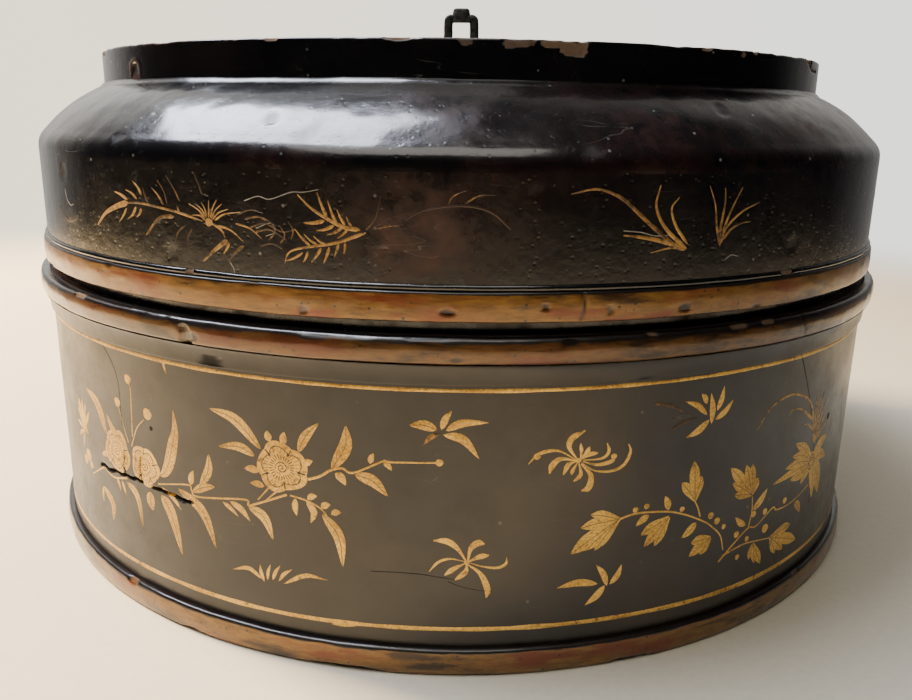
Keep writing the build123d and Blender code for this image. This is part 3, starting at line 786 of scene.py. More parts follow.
def lidWallShape(a, r, z, s):
    # a round brown patch at the front, a painted reflection, and two rubbed strips at the back, each falling off as
    # e^-(distance/width)^2
    outside = ease(r, lidRadius - 1.6, lidRadius - 0.5)
    dent, shown = chipAway(s, z, lidWallLook["knocks"], 95, lidRadius)
    patch = np.exp(-((s + 13) / 13) ** 2 - ((z - 145) / 12) ** 2) + 0.35 * np.exp(-((s + 8) / 34) ** 2)
    far = 0.4 * np.exp(-((s - 300) / 30) ** 2) + 0.4 * np.exp(-((s + 290) / 26) ** 2)
    return r - outside * dent, z, {"rubAndReflection": np.clip(patch + far, 0, 1), "bare": 0 * z, "deep": 0.5 * shown * outside}


makeHoop("lidWall", "lid_wall", "lid", lidWallLook, lidLacquer, lidWallShape)
makeHoop("lidLiner", "lid_liner", "lid", {
    "thick": 3.5, "step": 2.6, "corners": ((0.6, 5.0), (0.3, 1.2), (0.3, 3.0), (1.0, 1.2))}, insideRed, plainShape(83))


# Shoulder: carved from the wall's crease up to the collar, r and z along a bulged slope.
collarRadius = outerRadius("lid_collar")
shoulder = {"low": span("lid_shoulder")[0], "high": span("lid_shoulder")[1], "crease": 168.0, "round": 9.0,
            "bulge": 2.1, "slopeEnd": (163.8, 189.2), "foot": 182.2, "inner": lidRadius - 5.5,
            "dents": (24, 0.42), "toolMarks": (7, 0.13),
            "knocks": [(-60, 178, 3, 2, 0.35), (40, 170, 5, 1.6, 0.3), (96, 183, 3, 2, 0.3),
                       (-120, 171, 4, 1.4, 0.3), (230, 175, 6, 3, 0.5), (-300, 180, 5, 3, 0.4)]}


def shoulderFace():
    # straight slope plus bulge * 4t(1-t) across it
    start = np.array([lidRadius, shoulder["crease"]])
    end = np.array(shoulder["slopeEnd"])
    across = np.array([end[1] - start[1], start[0] - end[0]]) / np.linalg.norm(end - start)
    t = np.linspace(0.16, 1, 15)[:, None]
    line = start + (end - start) * t + across * shoulder["bulge"] * 4 * t * (1 - t)
    return [(lidRadius, shoulder["crease"] + 0.7, shoulder["round"], 1.6)] + [(r, z, 0, 1.3) for r, z in line]


shoulderOutline = traceOutline([(lidRadius, shoulder["low"], 0, 1.0)] + shoulderFace()
                               + [(collarRadius + 0.25, shoulder["high"] - 0.1, 0, 0.5),
                                  (collarRadius, shoulder["high"], 0, 3.0), (collarRadius, shoulder["foot"], 0, 4.0),
                                  (shoulder["inner"], shoulder["low"], 0, 2.0)])


def shoulderShape(a, r, z, s):
    # sunken wood and tool marks under the lacquer, as two noises of (size, height); both push along the slope's normal
    outside = ease(z - 164 - 0.7 * (lidRadius - r), 0.5, 3.0)
    place = wrapped(a, r, z)
    knocks, shown = chipAway(s, z, shoulder["knocks"], 97, lidRadius)
    (dentSize, dent), (markSize, mark) = shoulder["dents"], shoulder["toolMarks"]
    rise = outside * (dent * layeredNoise(place, dentSize, 101) + mark * layeredNoise(place, markSize, 103, 2) - knocks)
    worn = 0.25 * np.exp(-((s - 70) / 60) ** 2) + 0.45 * ease(layeredNoise(place, 30, 105, 4), 0.0, 0.7)
    return r + 0.7 * rise, z + 0.7 * rise, {"rubAndReflection": np.clip(worn, 0, 1), "bare": 0 * z, "deep": 0.35 * shown * outside}


lidShoulder = turnPiece("lidShoulder", shoulderOutline, roundAngles(lidRadius, 2.0, (-200, 200, 1.5)), lidRadius,
                        lidLacquer, shoulderShape)
paintHidden(lidShoulder, lambda radius, outward, upward: (upward < -0.3) | (outward < -0.5))
finishPiece(lidShoulder, "lid", ["lid_shoulder"])


# Collar: an upright hoop; its top edge is knocked ragged and shows the ground.
collar = {"high": span("lid_collar")[1], "thick": collarRadius - outerRadius("top_board_left"), "step": 1.7,
          "fine": [(-180, 180, 0.8)], "corners": ((0.2, 2.4), (0.8, 0.6), (0.8, 2.2), (0.3, 1.6)),
          "between": [(collarRadius, 196, 0, 0.5)],
          "chips": [(1.5, 201.6, 3.6, 1.6, 0.21), (17, 201.3, 7.0, 1.9, 0.22), (35.5, 200.6, 5.0, 2.9, 0.6),
                    (28, 201.6, 4.2, 1.4, 0.24), (86, 202.2, 2.8, 0.8, 0.5),
                    (111, 202.1, 1.6, 0.9, 0.5), (104, 201.2, 1.1, 0.9, 0.4), (-62, 202.3, 3.2, 0.7, 0.4),
                    (-20, 202.4, 5, 0.6, 0.4), (160, 202.1, 4, 1.2, 0.6), (-175, 202, 6, 1.3, 0.7),
                    (250, 201.5, 8, 2.0, 0.9), (330, 202, 5, 1.4, 0.6), (-290, 201.8, 7, 1.6, 0.8),
                    (430, 201.6, 9, 1.8, 0.9), (-420, 201.9, 6, 1.4, 0.7)],
          "scar": (-133, 194, 4.0, 3.2), "crack": [(156, 202.4), (158, 201.8), (162, 200), (165, 198.9), (175, 198.9)]}


def collarShape(a, r, z, s):
    # the top edge sinks by noise and chips; the scar is a raised ring e^-((ring - 1)/0.22)^2 round a hollow
    top = ease(z, collar["high"] - 4, collar["high"] - 0.5)
    depth, shown = chipAway(s, z, collar["chips"], 105, collarRadius)
    place = wrapped(a, collarRadius, 0 * z)
    ragged = layeredNoise(place, 14, 107) + 0.5 * layeredNoise(place, 3.5, 109)
    outside = ease(r, collarRadius - 3.0, collarRadius - 0.8)
    s0, z0, wide, high = collar["scar"]
    ring = np.hypot((s - s0) / wide, (z - z0) / high)
    scar = np.exp(-((ring - 1) / 0.22) ** 2) * 0.22 - 0.35 * ease(1 - ring, 0.0, 0.4)
    crack = 1 - ease(farness(s, z, collar["crack"]), 0.15, 0.8)
    z = z - top * (0.40 * np.maximum(ragged, -0.2) + 0.25 * shown * depth)
    r = r + outside * (scar - depth - 0.5 * crack) + outside * 0.10 * layeredNoise(wrapped(a, r, z), 20, 111)
    rim = ease(z, collar["high"] - 1.1, collar["high"] - 0.3) * np.clip(0.55 + 0.9 * ragged, 0, 1) * 0.5
    rubAndReflection = np.clip(rim + 0.8 * np.exp(-((ring - 1) / 0.3) ** 2), 0, 1)
    return r, z, {"bare": np.maximum(shown * outside, 0), "deep": 0.9 * crack * outside, "rubAndReflection": rubAndReflection}


makeHoop("lidCollar", "lid_collar", "lid", collar, lidLacquer, collarShape)


# Top boards: a low dome, flat where the iron sits.
topLook = {"radius": outerRadius("top_board_left"), "joint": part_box("top_board_middle")[1].x * 1000,
           "across": 34, "along": 90, "flat": 26.0, "edge": 199.7, "crown": span("top_board_middle")[1]}


def domeHeight(out):
    # z = crown - (crown - edge) * part^1.6, where part goes from 0 at the flat's end to 1 at the edge
    part = np.clip((out - topLook["flat"]) / (topLook["radius"] - topLook["flat"]), 0, 1)
    return topLook["crown"] - (topLook["crown"] - topLook["edge"]) * part ** 1.6


for side in ("left", "middle", "right"):
    makeBoard("topBoard_" + side, "top_board_" + side, "lid", topLook, domeHeight,
              span("top_board_" + side)[0], lidLacquer)

for node, material in (("floor_pins", bamboo), ("top_pins", bamboo), ("plate_left", iron), ("plate_right", iron)):
    for place in frame["nodes"][node].material_slots:
        place.material = material
print("lid made")


# A bar is a rounded square section carried along a path in one plane:
# c = S * thick * cos f - (T x S) * half * sin f, each wave raised to a power to square it, plus hammer noise.
forged = {"squareness": 0.6, "around": 20, "hammerSize": 2.2}


def forgeBar(path, side, half, thick, seed, closed=False, rough=0.10):
    # side is the path plane's normal; half and thick are the section's half sizes, across the path and along side
    path = np.asarray(path, float)
    side = np.asarray(side, float)
    way = (np.roll(path, -1, 0) - np.roll(path, 1, 0)) if closed else np.gradient(path, axis=0)
    way /= np.linalg.norm(way, axis=1)[:, None]
    cross = np.cross(way, side)
    half = np.broadcast_to(half, len(path))[:, None, None]
    thick = np.broadcast_to(thick, len(path))[:, None, None]
    f = np.linspace(0, math.tau, forged["around"], endpoint=False)[None, :, None]
    square = [np.sign(w) * np.abs(w) ** forged["squareness"] for w in (np.cos(f), np.sin(f))]
    corners = path[:, None] + side * thick * square[0] - cross[:, None] * half * square[1]
    out = corners - path[:, None]
    out /= np.linalg.norm(out, axis=2)[..., None] + 1e-9
    corners = corners + out * rough * layeredNoise(corners, forged["hammerSize"], seed)[..., None]
    return corners, closed


def forgePiece(name, bars, body, nodes):
    # bars that cross are left as crossing closed shells in one mesh
    corners, faces, count = [], [], 0
    for bar, closed in bars:
        corners.append(bar.reshape(-1, 3))
        faces += ringFaces(bar.shape[0], bar.shape[1], count, closedRows=closed)
        count += bar.shape[0] * bar.shape[1]
    piece = makeMesh(name, np.vstack(corners), faces, iron)
    return finishPiece(piece, body, nodes)


axisHeight = next(joint for joint in frame["joints"] if joint["name"] == "bail_swing")["pos_m"][2] * 1000
bailLook = {"reach": 6.2, "legHalf": 2.1, "thick": 1.65, "bend": 224.2, "top": span("bail")[1],
            "pin": 1.55, "pinEnd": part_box("bail")[1].x * 1000, "head": 2.35}
x, h = bailLook["reach"], bailLook["bend"]
bow = throughPoints([(-x, axisHeight - 1.4), (-x - 0.1, axisHeight + 4), (-x, 216), (-x + 0.05, h - 1.6),
                     (-x + 0.5, h - 0.5), (-x + 1.6, h - 0.05), (-2.4, h), (2.4, h + 0.1), (x - 1.6, h),
                     (x - 0.5, h - 0.4), (x - 0.05, h - 1.5), (x + 0.1, 216), (x, axisHeight + 4),
                     (x, axisHeight - 1.4)], 110)
bow = np.column_stack([bow[:, 0], 0 * bow[:, 0], bow[:, 1]])
legs = bailLook["legHalf"] - 0.35 * ease(np.abs(bow[:, 0]), 5.6, 3.0)
up = np.linspace(0, 1, 16)
knob = np.column_stack([0 * up, 0 * up, np.linspace(h - 1.6, bailLook["top"] - 0.1, len(up))])
knobHalf = np.interp(up, [0, 0.25, 0.4, 0.75, 0.92, 1], [5.4, 5.2, 4.6, 4.0, 3.8, 2.9])
knobThick = np.interp(up, [0, 0.4, 0.92, 1], [1.9, 1.8, 1.6, 1.1])
bars = [forgeBar(bow, (0, 1, 0), legs, bailLook["thick"], 141),
        forgeBar(knob, (0, 1, 0), knobHalf, knobThick, 143)]
for way in (-1, 1):
    run = np.linspace(6.4, bailLook["pinEnd"], 22)
    spread = np.where(run > bailLook["pinEnd"] - 1.35, bailLook["head"], bailLook["pin"])
    spread = np.where(run > bailLook["pinEnd"] - 0.2, bailLook["head"] * 0.8, spread)
    pinPath = np.column_stack([way * run, 0 * run, axisHeight + 0 * run])
    bars.append(forgeBar(pinPath, (0, 1, 0), spread, spread, 145, rough=0.03))
forgePiece("bailHandle", bars, "bail", ["bail"])

# Eye pins: a loop, a shank through the boards, and two tails bent apart under them.
eye = {"loop": 2.55, "wire": (0.80, 1.42), "shank": 1.25, "shankEnd": 191.6}
for name, node in (("eyePinLeft", "eye_pin_left"), ("eyePinRight", "eye_pin_right")):
    low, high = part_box(node)
    middle = (low.x + high.x) * 500
    turn = np.linspace(0, math.tau, 48, endpoint=False)
    loop = np.column_stack([middle + 0 * turn, eye["loop"] * np.cos(turn), axisHeight + eye["loop"] * np.sin(turn)])
    shankRun = np.linspace(axisHeight - 2.6, eye["shankEnd"], 26)
    shank = np.column_stack([middle + 0 * shankRun, 0 * shankRun, shankRun])
    bars = [forgeBar(loop, (1, 0, 0), *eye["wire"], 147, closed=True, rough=0.04),
            forgeBar(shank, (1, 0, 0), eye["shank"], eye["shank"], 149, rough=0.04)]
    for way in (-1, 1):
        tail = throughPoints([(0, 193.2), (way * 1.0, 192.2), (way * 4, 191.95), (high.y * 1000 * way, 191.8)], 24)
        tail = np.column_stack([middle + 0 * tail[:, 0], tail[:, 0], tail[:, 1]])
        bars.append(forgeBar(tail, (1, 0, 0), np.linspace(0.6, 0.35, 24), 1.1, 151, rough=0.04))
    forgePiece(name, bars, "lid", [node])
print("ironwork made")


# A stroke is a thin closed pillow laid on the wall: its half width along the path is w * profile(t), and its height
# over the wall is lift * (1 - d^2) with d from -1 to 1 across; the underside is sunk in the wall.
paint = {"lift": 0.10, "sunk": 0.30, "step": 0.9, "driftSize": 45}
ringAcross = np.array([-1, -0.55, 0, 0.55, 1, 0.5, 0, -0.5])
ringHeight = np.array([0.0, 0.7, 1.0, 0.7, 0.0, -1, -1, -1])


def pillowHeight(rise):
    # heights round a stroke's section: rise in the middle, 0 at the edges, sunk below
    return np.where(ringHeight > -0.5, ringHeight * rise, -paint["sunk"])[None]


# Lines cut in an open flower: (strength, half width where it is full, and where it ends, from and to as shares of
# the radius). There are that many dashes round it and veins in each petal, and the curl's turns are that far apart.
flowerLines = {"petal": (1.0, 0.10, 0.34, 0.62, 0.97), "dash": (1.0, 0.06, 0.24, 0.34, 0.52),
               "curl": (1.0, 0.08, 0.26, -1, 0.27), "vein": (0.8, 0.03, 0.20, 0.58, 0.76)}
flowerCounts = {"dashes": 26, "veins": 6, "curlStep": 1.15}


class Painting:
    # gathers strokes for one wall and makes them one mesh; offset(s, z) is the wall's own relief, shift carries
    # what is drawn round the wall, and drift is how far the hand strays
    def __init__(self, radius, offset=None):
        self.radius, self.offset, self.drift, self.shift = radius, offset, 0.0, 0.0
        self.corners, self.faces, self.count = [], [], 0
        self.marks = {"across": [], "along": [], "fade": [], "veined": [], "cut": []}

    def lay(self, s, z, height, marks):
        if self.drift:
            flat = wrapped(s / self.radius, self.radius, z)
            s = s + self.drift * softNoise(flat, paint["driftSize"], 131)
            z = z + self.drift * softNoise(flat, paint["driftSize"], 133)
        angle = s / self.radius
        out = self.radius + swell(angle, self.radius, z) + height
        if self.offset:
            out = out + self.offset(s, z)[0]
        rows, columns = s.shape
        self.corners.append(wrapped(angle, out, z).reshape(-1, 3))
        self.faces += ringFaces(rows, columns, self.count)
        self.count += rows * columns
        for mark in self.marks:
            self.marks[mark].append(np.broadcast_to(marks.get(mark, 0.0), s.shape).ravel())

    def stroke(self, spots, width, profile, fade=0.0, veined=0.0, lift=None):
        # a smooth line through the spots, half as wide each way as width * profile(t)
        spots = np.asarray(spots, float) + (self.shift, 0)
        length = np.linalg.norm(np.diff(spots, axis=0), axis=1).sum()
        count = int(np.clip(length / paint["step"], 7, 70))
        line = throughPoints(spots, count)
        way = np.gradient(line, axis=0)
        way /= np.linalg.norm(way, axis=1)[:, None] + 1e-9
        t = np.linspace(0, 1, count)
        half = np.maximum(width / 2 * profile(t), 0.03)
        side = ringAcross[None] * half[:, None]
        s = line[:, :1] - way[:, 1:] * side
        z = line[:, 1:] + way[:, :1] * side
        rise = paint["lift"] if lift is None else lift
        height = pillowHeight(rise) + 0 * side
        self.lay(s, z, height, {"across": side, "along": t[:, None] * length + 0 * side, "fade": fade,
                                "veined": veined})

    def leaf(self, s0, z0, sm, zm, s1, z1, width, fade=0.0):
        # widest four tenths of the way along, pointed at both ends
        self.stroke([(s0, z0), (sm, zm), (s1, z1)], width * 1.02, lambda t: np.sin(math.pi * t ** 0.8) ** 0.85, fade,
                    1.0 if width > 2.9 else 0.0)

    def blade(self, spots, width, fade=0.0):
        # a brush line: quick start, long thin end
        self.stroke(spots, width, lambda t: np.minimum(1, t * 9 + 0.3) * (1 - 0.75 * t ** 1.5), fade)

    def petal(self, spots, width):
        # narrow at the foot, fullest two thirds of the way out, blunt at the end
        self.stroke(spots, width * 0.95, lambda t: (0.28 + 0.72 * ease(t, 0.0, 0.6)) * (1 - 0.75 * ease(t, 0.72, 1.0)))

    def stem(self, spots, width):
        # a thin line that loses a third of its width
        self.stroke(spots, width * 0.85, lambda t: 1 - 0.35 * t)

    def blob(self, s0, z0, size, petals=0, seed=1):
        # r(phi) = size * (1 - dip between the petals), laid as rings. Cut in it: a line between two petals,
        # a scalloped line inside the rim, short veins, dashes round the middle and a small spiral
        big = petals > 0
        s0 = s0 + self.shift
        turn = np.linspace(0, 2 * math.pi, 168 if big else 12, endpoint=False)[None, :]
        out = np.concatenate([np.linspace(0.02, 1, 36 if big else 4), [0.6, 0.02]])[:, None]
        dip = (1 - np.abs(np.cos(petals * turn / 2 + seed)) ** 0.6) if big else 0 * turn
        rim = size * (1.04 - 0.12 * dip)
        wobble = 1 + 0.05 * np.sin(3 * turn + seed) + 0.03 * np.sin(5 * turn + 2 * seed)
        reach = out * rim * wobble
        s, z = s0 + reach * np.cos(turn), z0 + reach * 0.95 * np.sin(turn)
        top = np.arange(len(out))[:, None] < len(out) - 2
        height = np.where(top, paint["lift"] * (1 - out ** 6), -paint["sunk"]) + 0 * reach
        cutField = 0 * reach
        if big:
            def fromRay(count):
                # distance along the ring to the nearest of so many rays
                return np.abs((turn * count / math.tau) % 1 - 0.5) * reach * math.tau / count

            step = flowerCounts["curlStep"]
            fromPetal = np.abs(np.sin((petals * turn / 2 + seed + math.pi / 2) % math.pi)) * 2 / petals * reach
            distance = {"petal": fromPetal, "dash": fromRay(flowerCounts["dashes"]),
                        "vein": fromRay(petals * flowerCounts["veins"]),
                        "curl": np.abs((reach / step - turn / math.tau) % 1 - 0.5) * step}
            lines = [0.85 * (1 - ease(np.abs(out - 0.80 + 0.16 * dip) * size, 0.08, 0.30))]
            for key, (strength, full, ends, start, stop) in flowerLines.items():
                lines.append(strength * (1 - ease(distance[key], full, ends)) * (out > start) * (out < stop))
            cutField = np.maximum.reduce(lines) * top
        self.lay(s, z, height, {"cut": cutField})

    def lobed(self, base, tips):
        # a leaf of several pointed lobes that share a foot
        for s1, z1, width in tips:
            middle = (base[0] * 0.42 + s1 * 0.58, base[1] * 0.42 + z1 * 0.58 + 0.3)
            self.stroke([base, middle, (s1, z1)], width * 1.05, lambda t: 0.35 * (1 - t) + np.sin(math.pi * t ** 1.15),
                        veined=1.0)

    def finish(self, name, body, material):
        marks = {mark: np.concatenate(values) for mark, values in self.marks.items()}
        piece = makeMesh(name, np.vstack(self.corners), self.faces, material, marks)
        return finishPiece(piece, body, [])


def drawAll(mark, rows):
    # each row holds what the mark asks for
    for row in rows:
        mark(*row)


def bowed(base, tip, rise):
    # three spots, the middle one raised off the straight line
    return [base, ((base[0] + tip[0]) / 2, (base[1] + tip[1]) / 2 + rise), tip]


def layFlowerBranch(art):
    # the left branch: an open round flower, long leaves, buds, and a stem that runs on to a second pair of flowers
    art.blob(-56.5, 69, 9.0, petals=5, seed=2)
    leaves = [(-63.8, 74.4, -73, 83.2, -83.5, 85.7, 3.9), (-66.2, 71.7, -72.3, 74, -80.6, 72.8, 3.2),
              (-64.8, 66.5, -67.7, 67, -70.6, 66.7, 2.6), (-63.1, 61.5, -65.8, 62, -68.5, 61.9, 2.4),
              (-60.3, 77.6, -61.1, 79.4, -61.2, 81.3, 2.6), (-55.5, 76.9, -55.6, 79.3, -55.1, 81.5, 2.6),
              (-48.5, 71, -47.2, 72.1, -45.5, 72.8, 2.3), (-50.4, 75.2, -47.7, 80.9, -43.1, 85.9, 3.2),
              (-39.2, 70.5, -34.6, 78.6, -34.2, 85.9, 4.4), (-26.5, 73.6, -26.2, 75.5, -25.4, 77.2, 2.0),
              (-31.5, 69.5, -25.8, 67.8, -20.8, 62.8, 3.9), (-38.1, 69.4, -36, 68, -34.6, 65.5, 2.8),
              (-22.3, 74.4, -20.7, 73.3, -19.6, 71.7, 1.8), (-51.9, 59, -52.2, 55.9, -51.7, 52.8, 2.2),
              (-48.1, 58.6, -45.6, 54.8, -46.8, 50.9, 2.4), (-47.7, 59.2, -46.1, 60.4, -44.3, 60.8, 2.2),
              (-43.1, 56.7, -41.5, 57.9, -39.8, 58.2, 2.4), (-39.6, 54.8, -38, 55.8, -36.2, 55.8, 2.2),
              (-42.7, 54.8, -37.3, 47.1, -36, 36.2, 3.8), (-80, 52.8, -77, 51.2, -73.8, 48.6, 1.6),
              (-76.9, 53.6, -72.6, 51.6, -69.2, 47.8, 2.4), (-69.6, 53.1, -63.8, 50.2, -60.6, 42.5, 3.6),
              (-89.6, 56.3, -85.4, 63.2, -84.8, 69.4, 3.3), (-93.1, 53.6, -88, 56.4, -82.7, 57.8, 3.0),
              (-93.8, 55.9, -93.4, 58.8, -92.2, 61.7, 2.6), (-100, 53.2, -89.2, 47.1, -83.8, 34, 4.0),
              (-109.6, 48.2, -104.6, 42.5, -100.2, 26.8, 5.0), (-108.5, 51.7, -103.4, 49, -99.1, 45.2, 2.0),
              (-115.8, 48, -115.6, 44.2, -114.5, 40.5, 4.5), (-142, 62.8, -148, 73.6, -158, 77.5, 4.5),
              (-143, 55, -145.3, 54.6, -147.7, 53.6, 2.5), (-130.4, 47.5, -123.8, 43.6, -121.5, 31.3, 3.0),
              (-137.5, 47, -136, 44.9, -135, 42.5, 1.6), (-134, 47, -132.4, 44.5, -131.2, 41.7, 1.6),
              (-149.6, 39.8, -142.7, 34.8, -143.8, 27, 3.8), (-149.6, 39.8, -150.8, 36.4, -150.8, 32.8, 1.6),
              (-168.8, 71, -166.6, 63.5, -160, 57.1, 4.0), (-128.5, 62, -137, 66.5, -141, 72, 3.0)]
    drawAll(art.leaf, leaves)
    art.stroke([(-109.2, 55.9), (-106.2, 57.8), (-103.5, 62.5), (-101.2, 69.4), (-99.6, 74.8), (-99.8, 82.8)],
               5.0, lambda t: np.sin(math.pi * t ** 0.9) ** 0.9, 0.0, 1.0)
    stems = [([(-47.3, 66.2), (-43.1, 67.8), (-39.6, 70.2), (-35.8, 71.3), (-33.1, 70), (-30, 70.9), (-22.3, 74.8),
               (-20, 74.6), (-5, 75)], 1.1), ([(-53.8, 59.8), (-47.7, 58.6), (-43, 56.3), (-40, 52.5)], 0.8),
             ([(-60.8, 62.1), (-65.8, 56.3)], 0.8), ([(-58.1, 60.9), (-63.5, 55.9)], 0.7),
             ([(-55, 59.8), (-66.2, 54.8), (-69.6, 53.6), (-71.4, 55.4), (-90.8, 52.3), (-93.5, 54), (-95.5, 55.7),
               (-110, 52.5)], 1.0), ([(-126.5, 64), (-131.5, 77.1)], 0.7),
             ([(-123.5, 67.1), (-122.3, 84), (-123, 87)], 0.7),
             ([(-124.6, 63.2), (-120.4, 70.9), (-115.8, 75.2)], 0.7),
             ([(-147.7, 48.2), (-159.6, 41.7)], 0.9), ([(-130, 49), (-140, 46.5), (-147.7, 48.2)], 0.9),
             ([(-56.4, 76), (-56, 78)], 0.6), ([(-60, 76), (-60.6, 78.5)], 0.6)]
    drawAll(art.stem, stems)
    drawAll(art.blob, ((-4.6, 75, 1.2), (-131.8, 78.2, 1.8), (-123.5, 88.6, 1.8), (-113.5, 77.8, 2.2),
                       (-162.7, 48.6, 2.6), (-166.5, 45.6, 2.0), (-160.4, 45.2, 1.6)))
    for tip in ((-171, 66), (-168.4, 69.6), (-164.6, 71.4), (-160.6, 71), (-157, 68), (-173, 60.4), (-172, 54.6),
                (-168, 50.6)):
        art.petal(bowed((-164.6, 58), tip, 0.6), 1.9)
    art.blob(-135, 58.6, 8.6, petals=5, seed=4)
    art.blob(-117.3, 57.2, 7.8, petals=5, seed=7)


def layLobedBranch(art):
    # the right branch: lobed leaves on a curving stem under a big drooping bloom
    stems = [([(55.4, 52.6), (60.8, 53.8), (66.9, 53.6), (74.6, 52.5), (82.3, 49.8), (90, 45.9), (93.8, 43.2),
               (98.5, 38.6), (100.6, 32.5)], 0.9),
             ([(98.8, 28.2), (106, 33.6), (113, 37.8), (117.7, 37.5), (126.9, 42.1), (130, 40.5), (140, 40.5),
               (153.8, 43.6)], 0.9), ([(100.8, 30.2), (109.2, 31.7), (114.6, 31.7), (127.7, 29.8)], 0.8),
             ([(88, 48.2), (86.5, 52), (83, 57.8)], 0.8), ([(113, 37.8), (114.2, 44), (113.5, 50.2)], 0.8)]
    drawAll(art.stem, stems)
    lobes = [((55.4, 52.8), [(45, 55.4, 3.0), (41.7, 50.9, 3.4), (38.8, 41.8, 4.5), (44, 42.5, 3.4),
                             (47.1, 42.2, 3.2)]),
             ((74.6, 50.5), [(63.8, 45.5, 3.2), (65.4, 40.9, 3.2), (69.6, 40.5, 3.2)]),
             ((85, 54.8), [(83.1, 69.6, 3.6), (78.6, 62.5, 3.0), (86.9, 63.6, 3.2)]),
             ((93.8, 39), [(85, 38.6, 3.2), (84.6, 33.6, 3.2), (89.6, 33.2, 3.2)]),
             ((113, 50.9), [(100.2, 64, 3.6), (101.9, 57.8, 3.0), (103.5, 52.8, 3.0), (108.1, 63.6, 3.0),
                            (111.5, 63.2, 3.2), (115.5, 57, 3.6)]),
             ((127.7, 29.8), [(142.3, 30.9, 3.4), (148.8, 22, 4.0), (138, 21.5, 3.4), (132.3, 21.7, 3.0)]),
             ((116.9, 30.5), [(115.4, 24.4, 2.6), (119.2, 21.7, 2.6), (123, 20.5, 3.0)])]
    drawAll(art.lobed, lobes)
    leaves = [(66.5, 52.6, 64.2, 51.2, 61.7, 49.2, 2.6), (74.2, 53.2, 73.5, 56, 72.3, 58.6, 2.6),
              (86.5, 46.3, 83.8, 43.6, 80.6, 41.5, 3.2), (114.6, 44.4, 118.8, 47.4, 122.2, 51.3, 3.2),
              (111.4, 39.4, 108.2, 41.2, 105.4, 44, 2.4), (143, 39.4, 146.4, 37.2, 148.7, 33.8, 3.4),
              (153.8, 53.2, 146, 60.5, 137.7, 64.8, 4.5), (153.8, 53.2, 145.4, 58.2, 136.5, 59.8, 4.4),
              (153.8, 53.2, 143.4, 56, 132.3, 56, 4.4), (153.8, 53.2, 139.6, 53.4, 124.6, 51.7, 3.4),
              (153.8, 53.2, 145.4, 51, 136.9, 50.2, 5.0), (153.8, 53.2, 149.4, 50.6, 146.2, 46, 6.0),
              (153.8, 53.2, 162, 54, 170, 51, 5.0), (153.8, 53.2, 161.5, 46, 166.2, 36.3, 8.0),
              (153.8, 53.2, 157.4, 45.4, 159.2, 36.3, 6.0), (153.8, 53.2, 160.8, 58.6, 168.6, 60.4, 5.0)]
    drawAll(art.leaf, leaves)
    drawAll(art.blob, ((61.2, 55.2, 1), (65.4, 55.9, 1), (79.8, 52.5, 1), (93, 47.5, 1.3), (96.2, 44.8, 1.3),
                       (99.8, 41.8, 1), (106.9, 36.9, 1.3), (115.4, 42.8, 1.3), (122.2, 42, 1.3), (135, 42.8, 1.3),
                       (123.5, 34.8, 1.8), (113, 33.6, 1.1), (108.6, 27.5, 1.1)))
    art.blob(153.8, 53.2, 4.2, petals=7, seed=3)
    blades = [([(150.5, 70), (149.2, 74), (144.6, 80.2), (135.4, 84.4), (127.7, 85.2), (118.5, 82.8),
                (111.7, 75.7)], 1.3),
              ([(150, 70.9), (143.8, 75.2), (138.5, 78.2), (133, 79), (130.4, 77.5)], 1.2),
              ([(150.8, 67.1), (146.2, 70.2), (139.6, 71.7)], 1.0), ([(153, 71.7), (152.4, 75.6), (150.8, 79.4)], 0.9)]
    blades += [(bowed((153.8, 61), tip, 0.5), 1.3)
               for tip in ((147.6, 76), (150.6, 80.4), (154.2, 82.6), (157.8, 81), (161.4, 77.4), (164.6, 72.6),
                           (166.6, 67.2))]
    for spots, width in blades:
        art.blade(spots, width, 0.35)


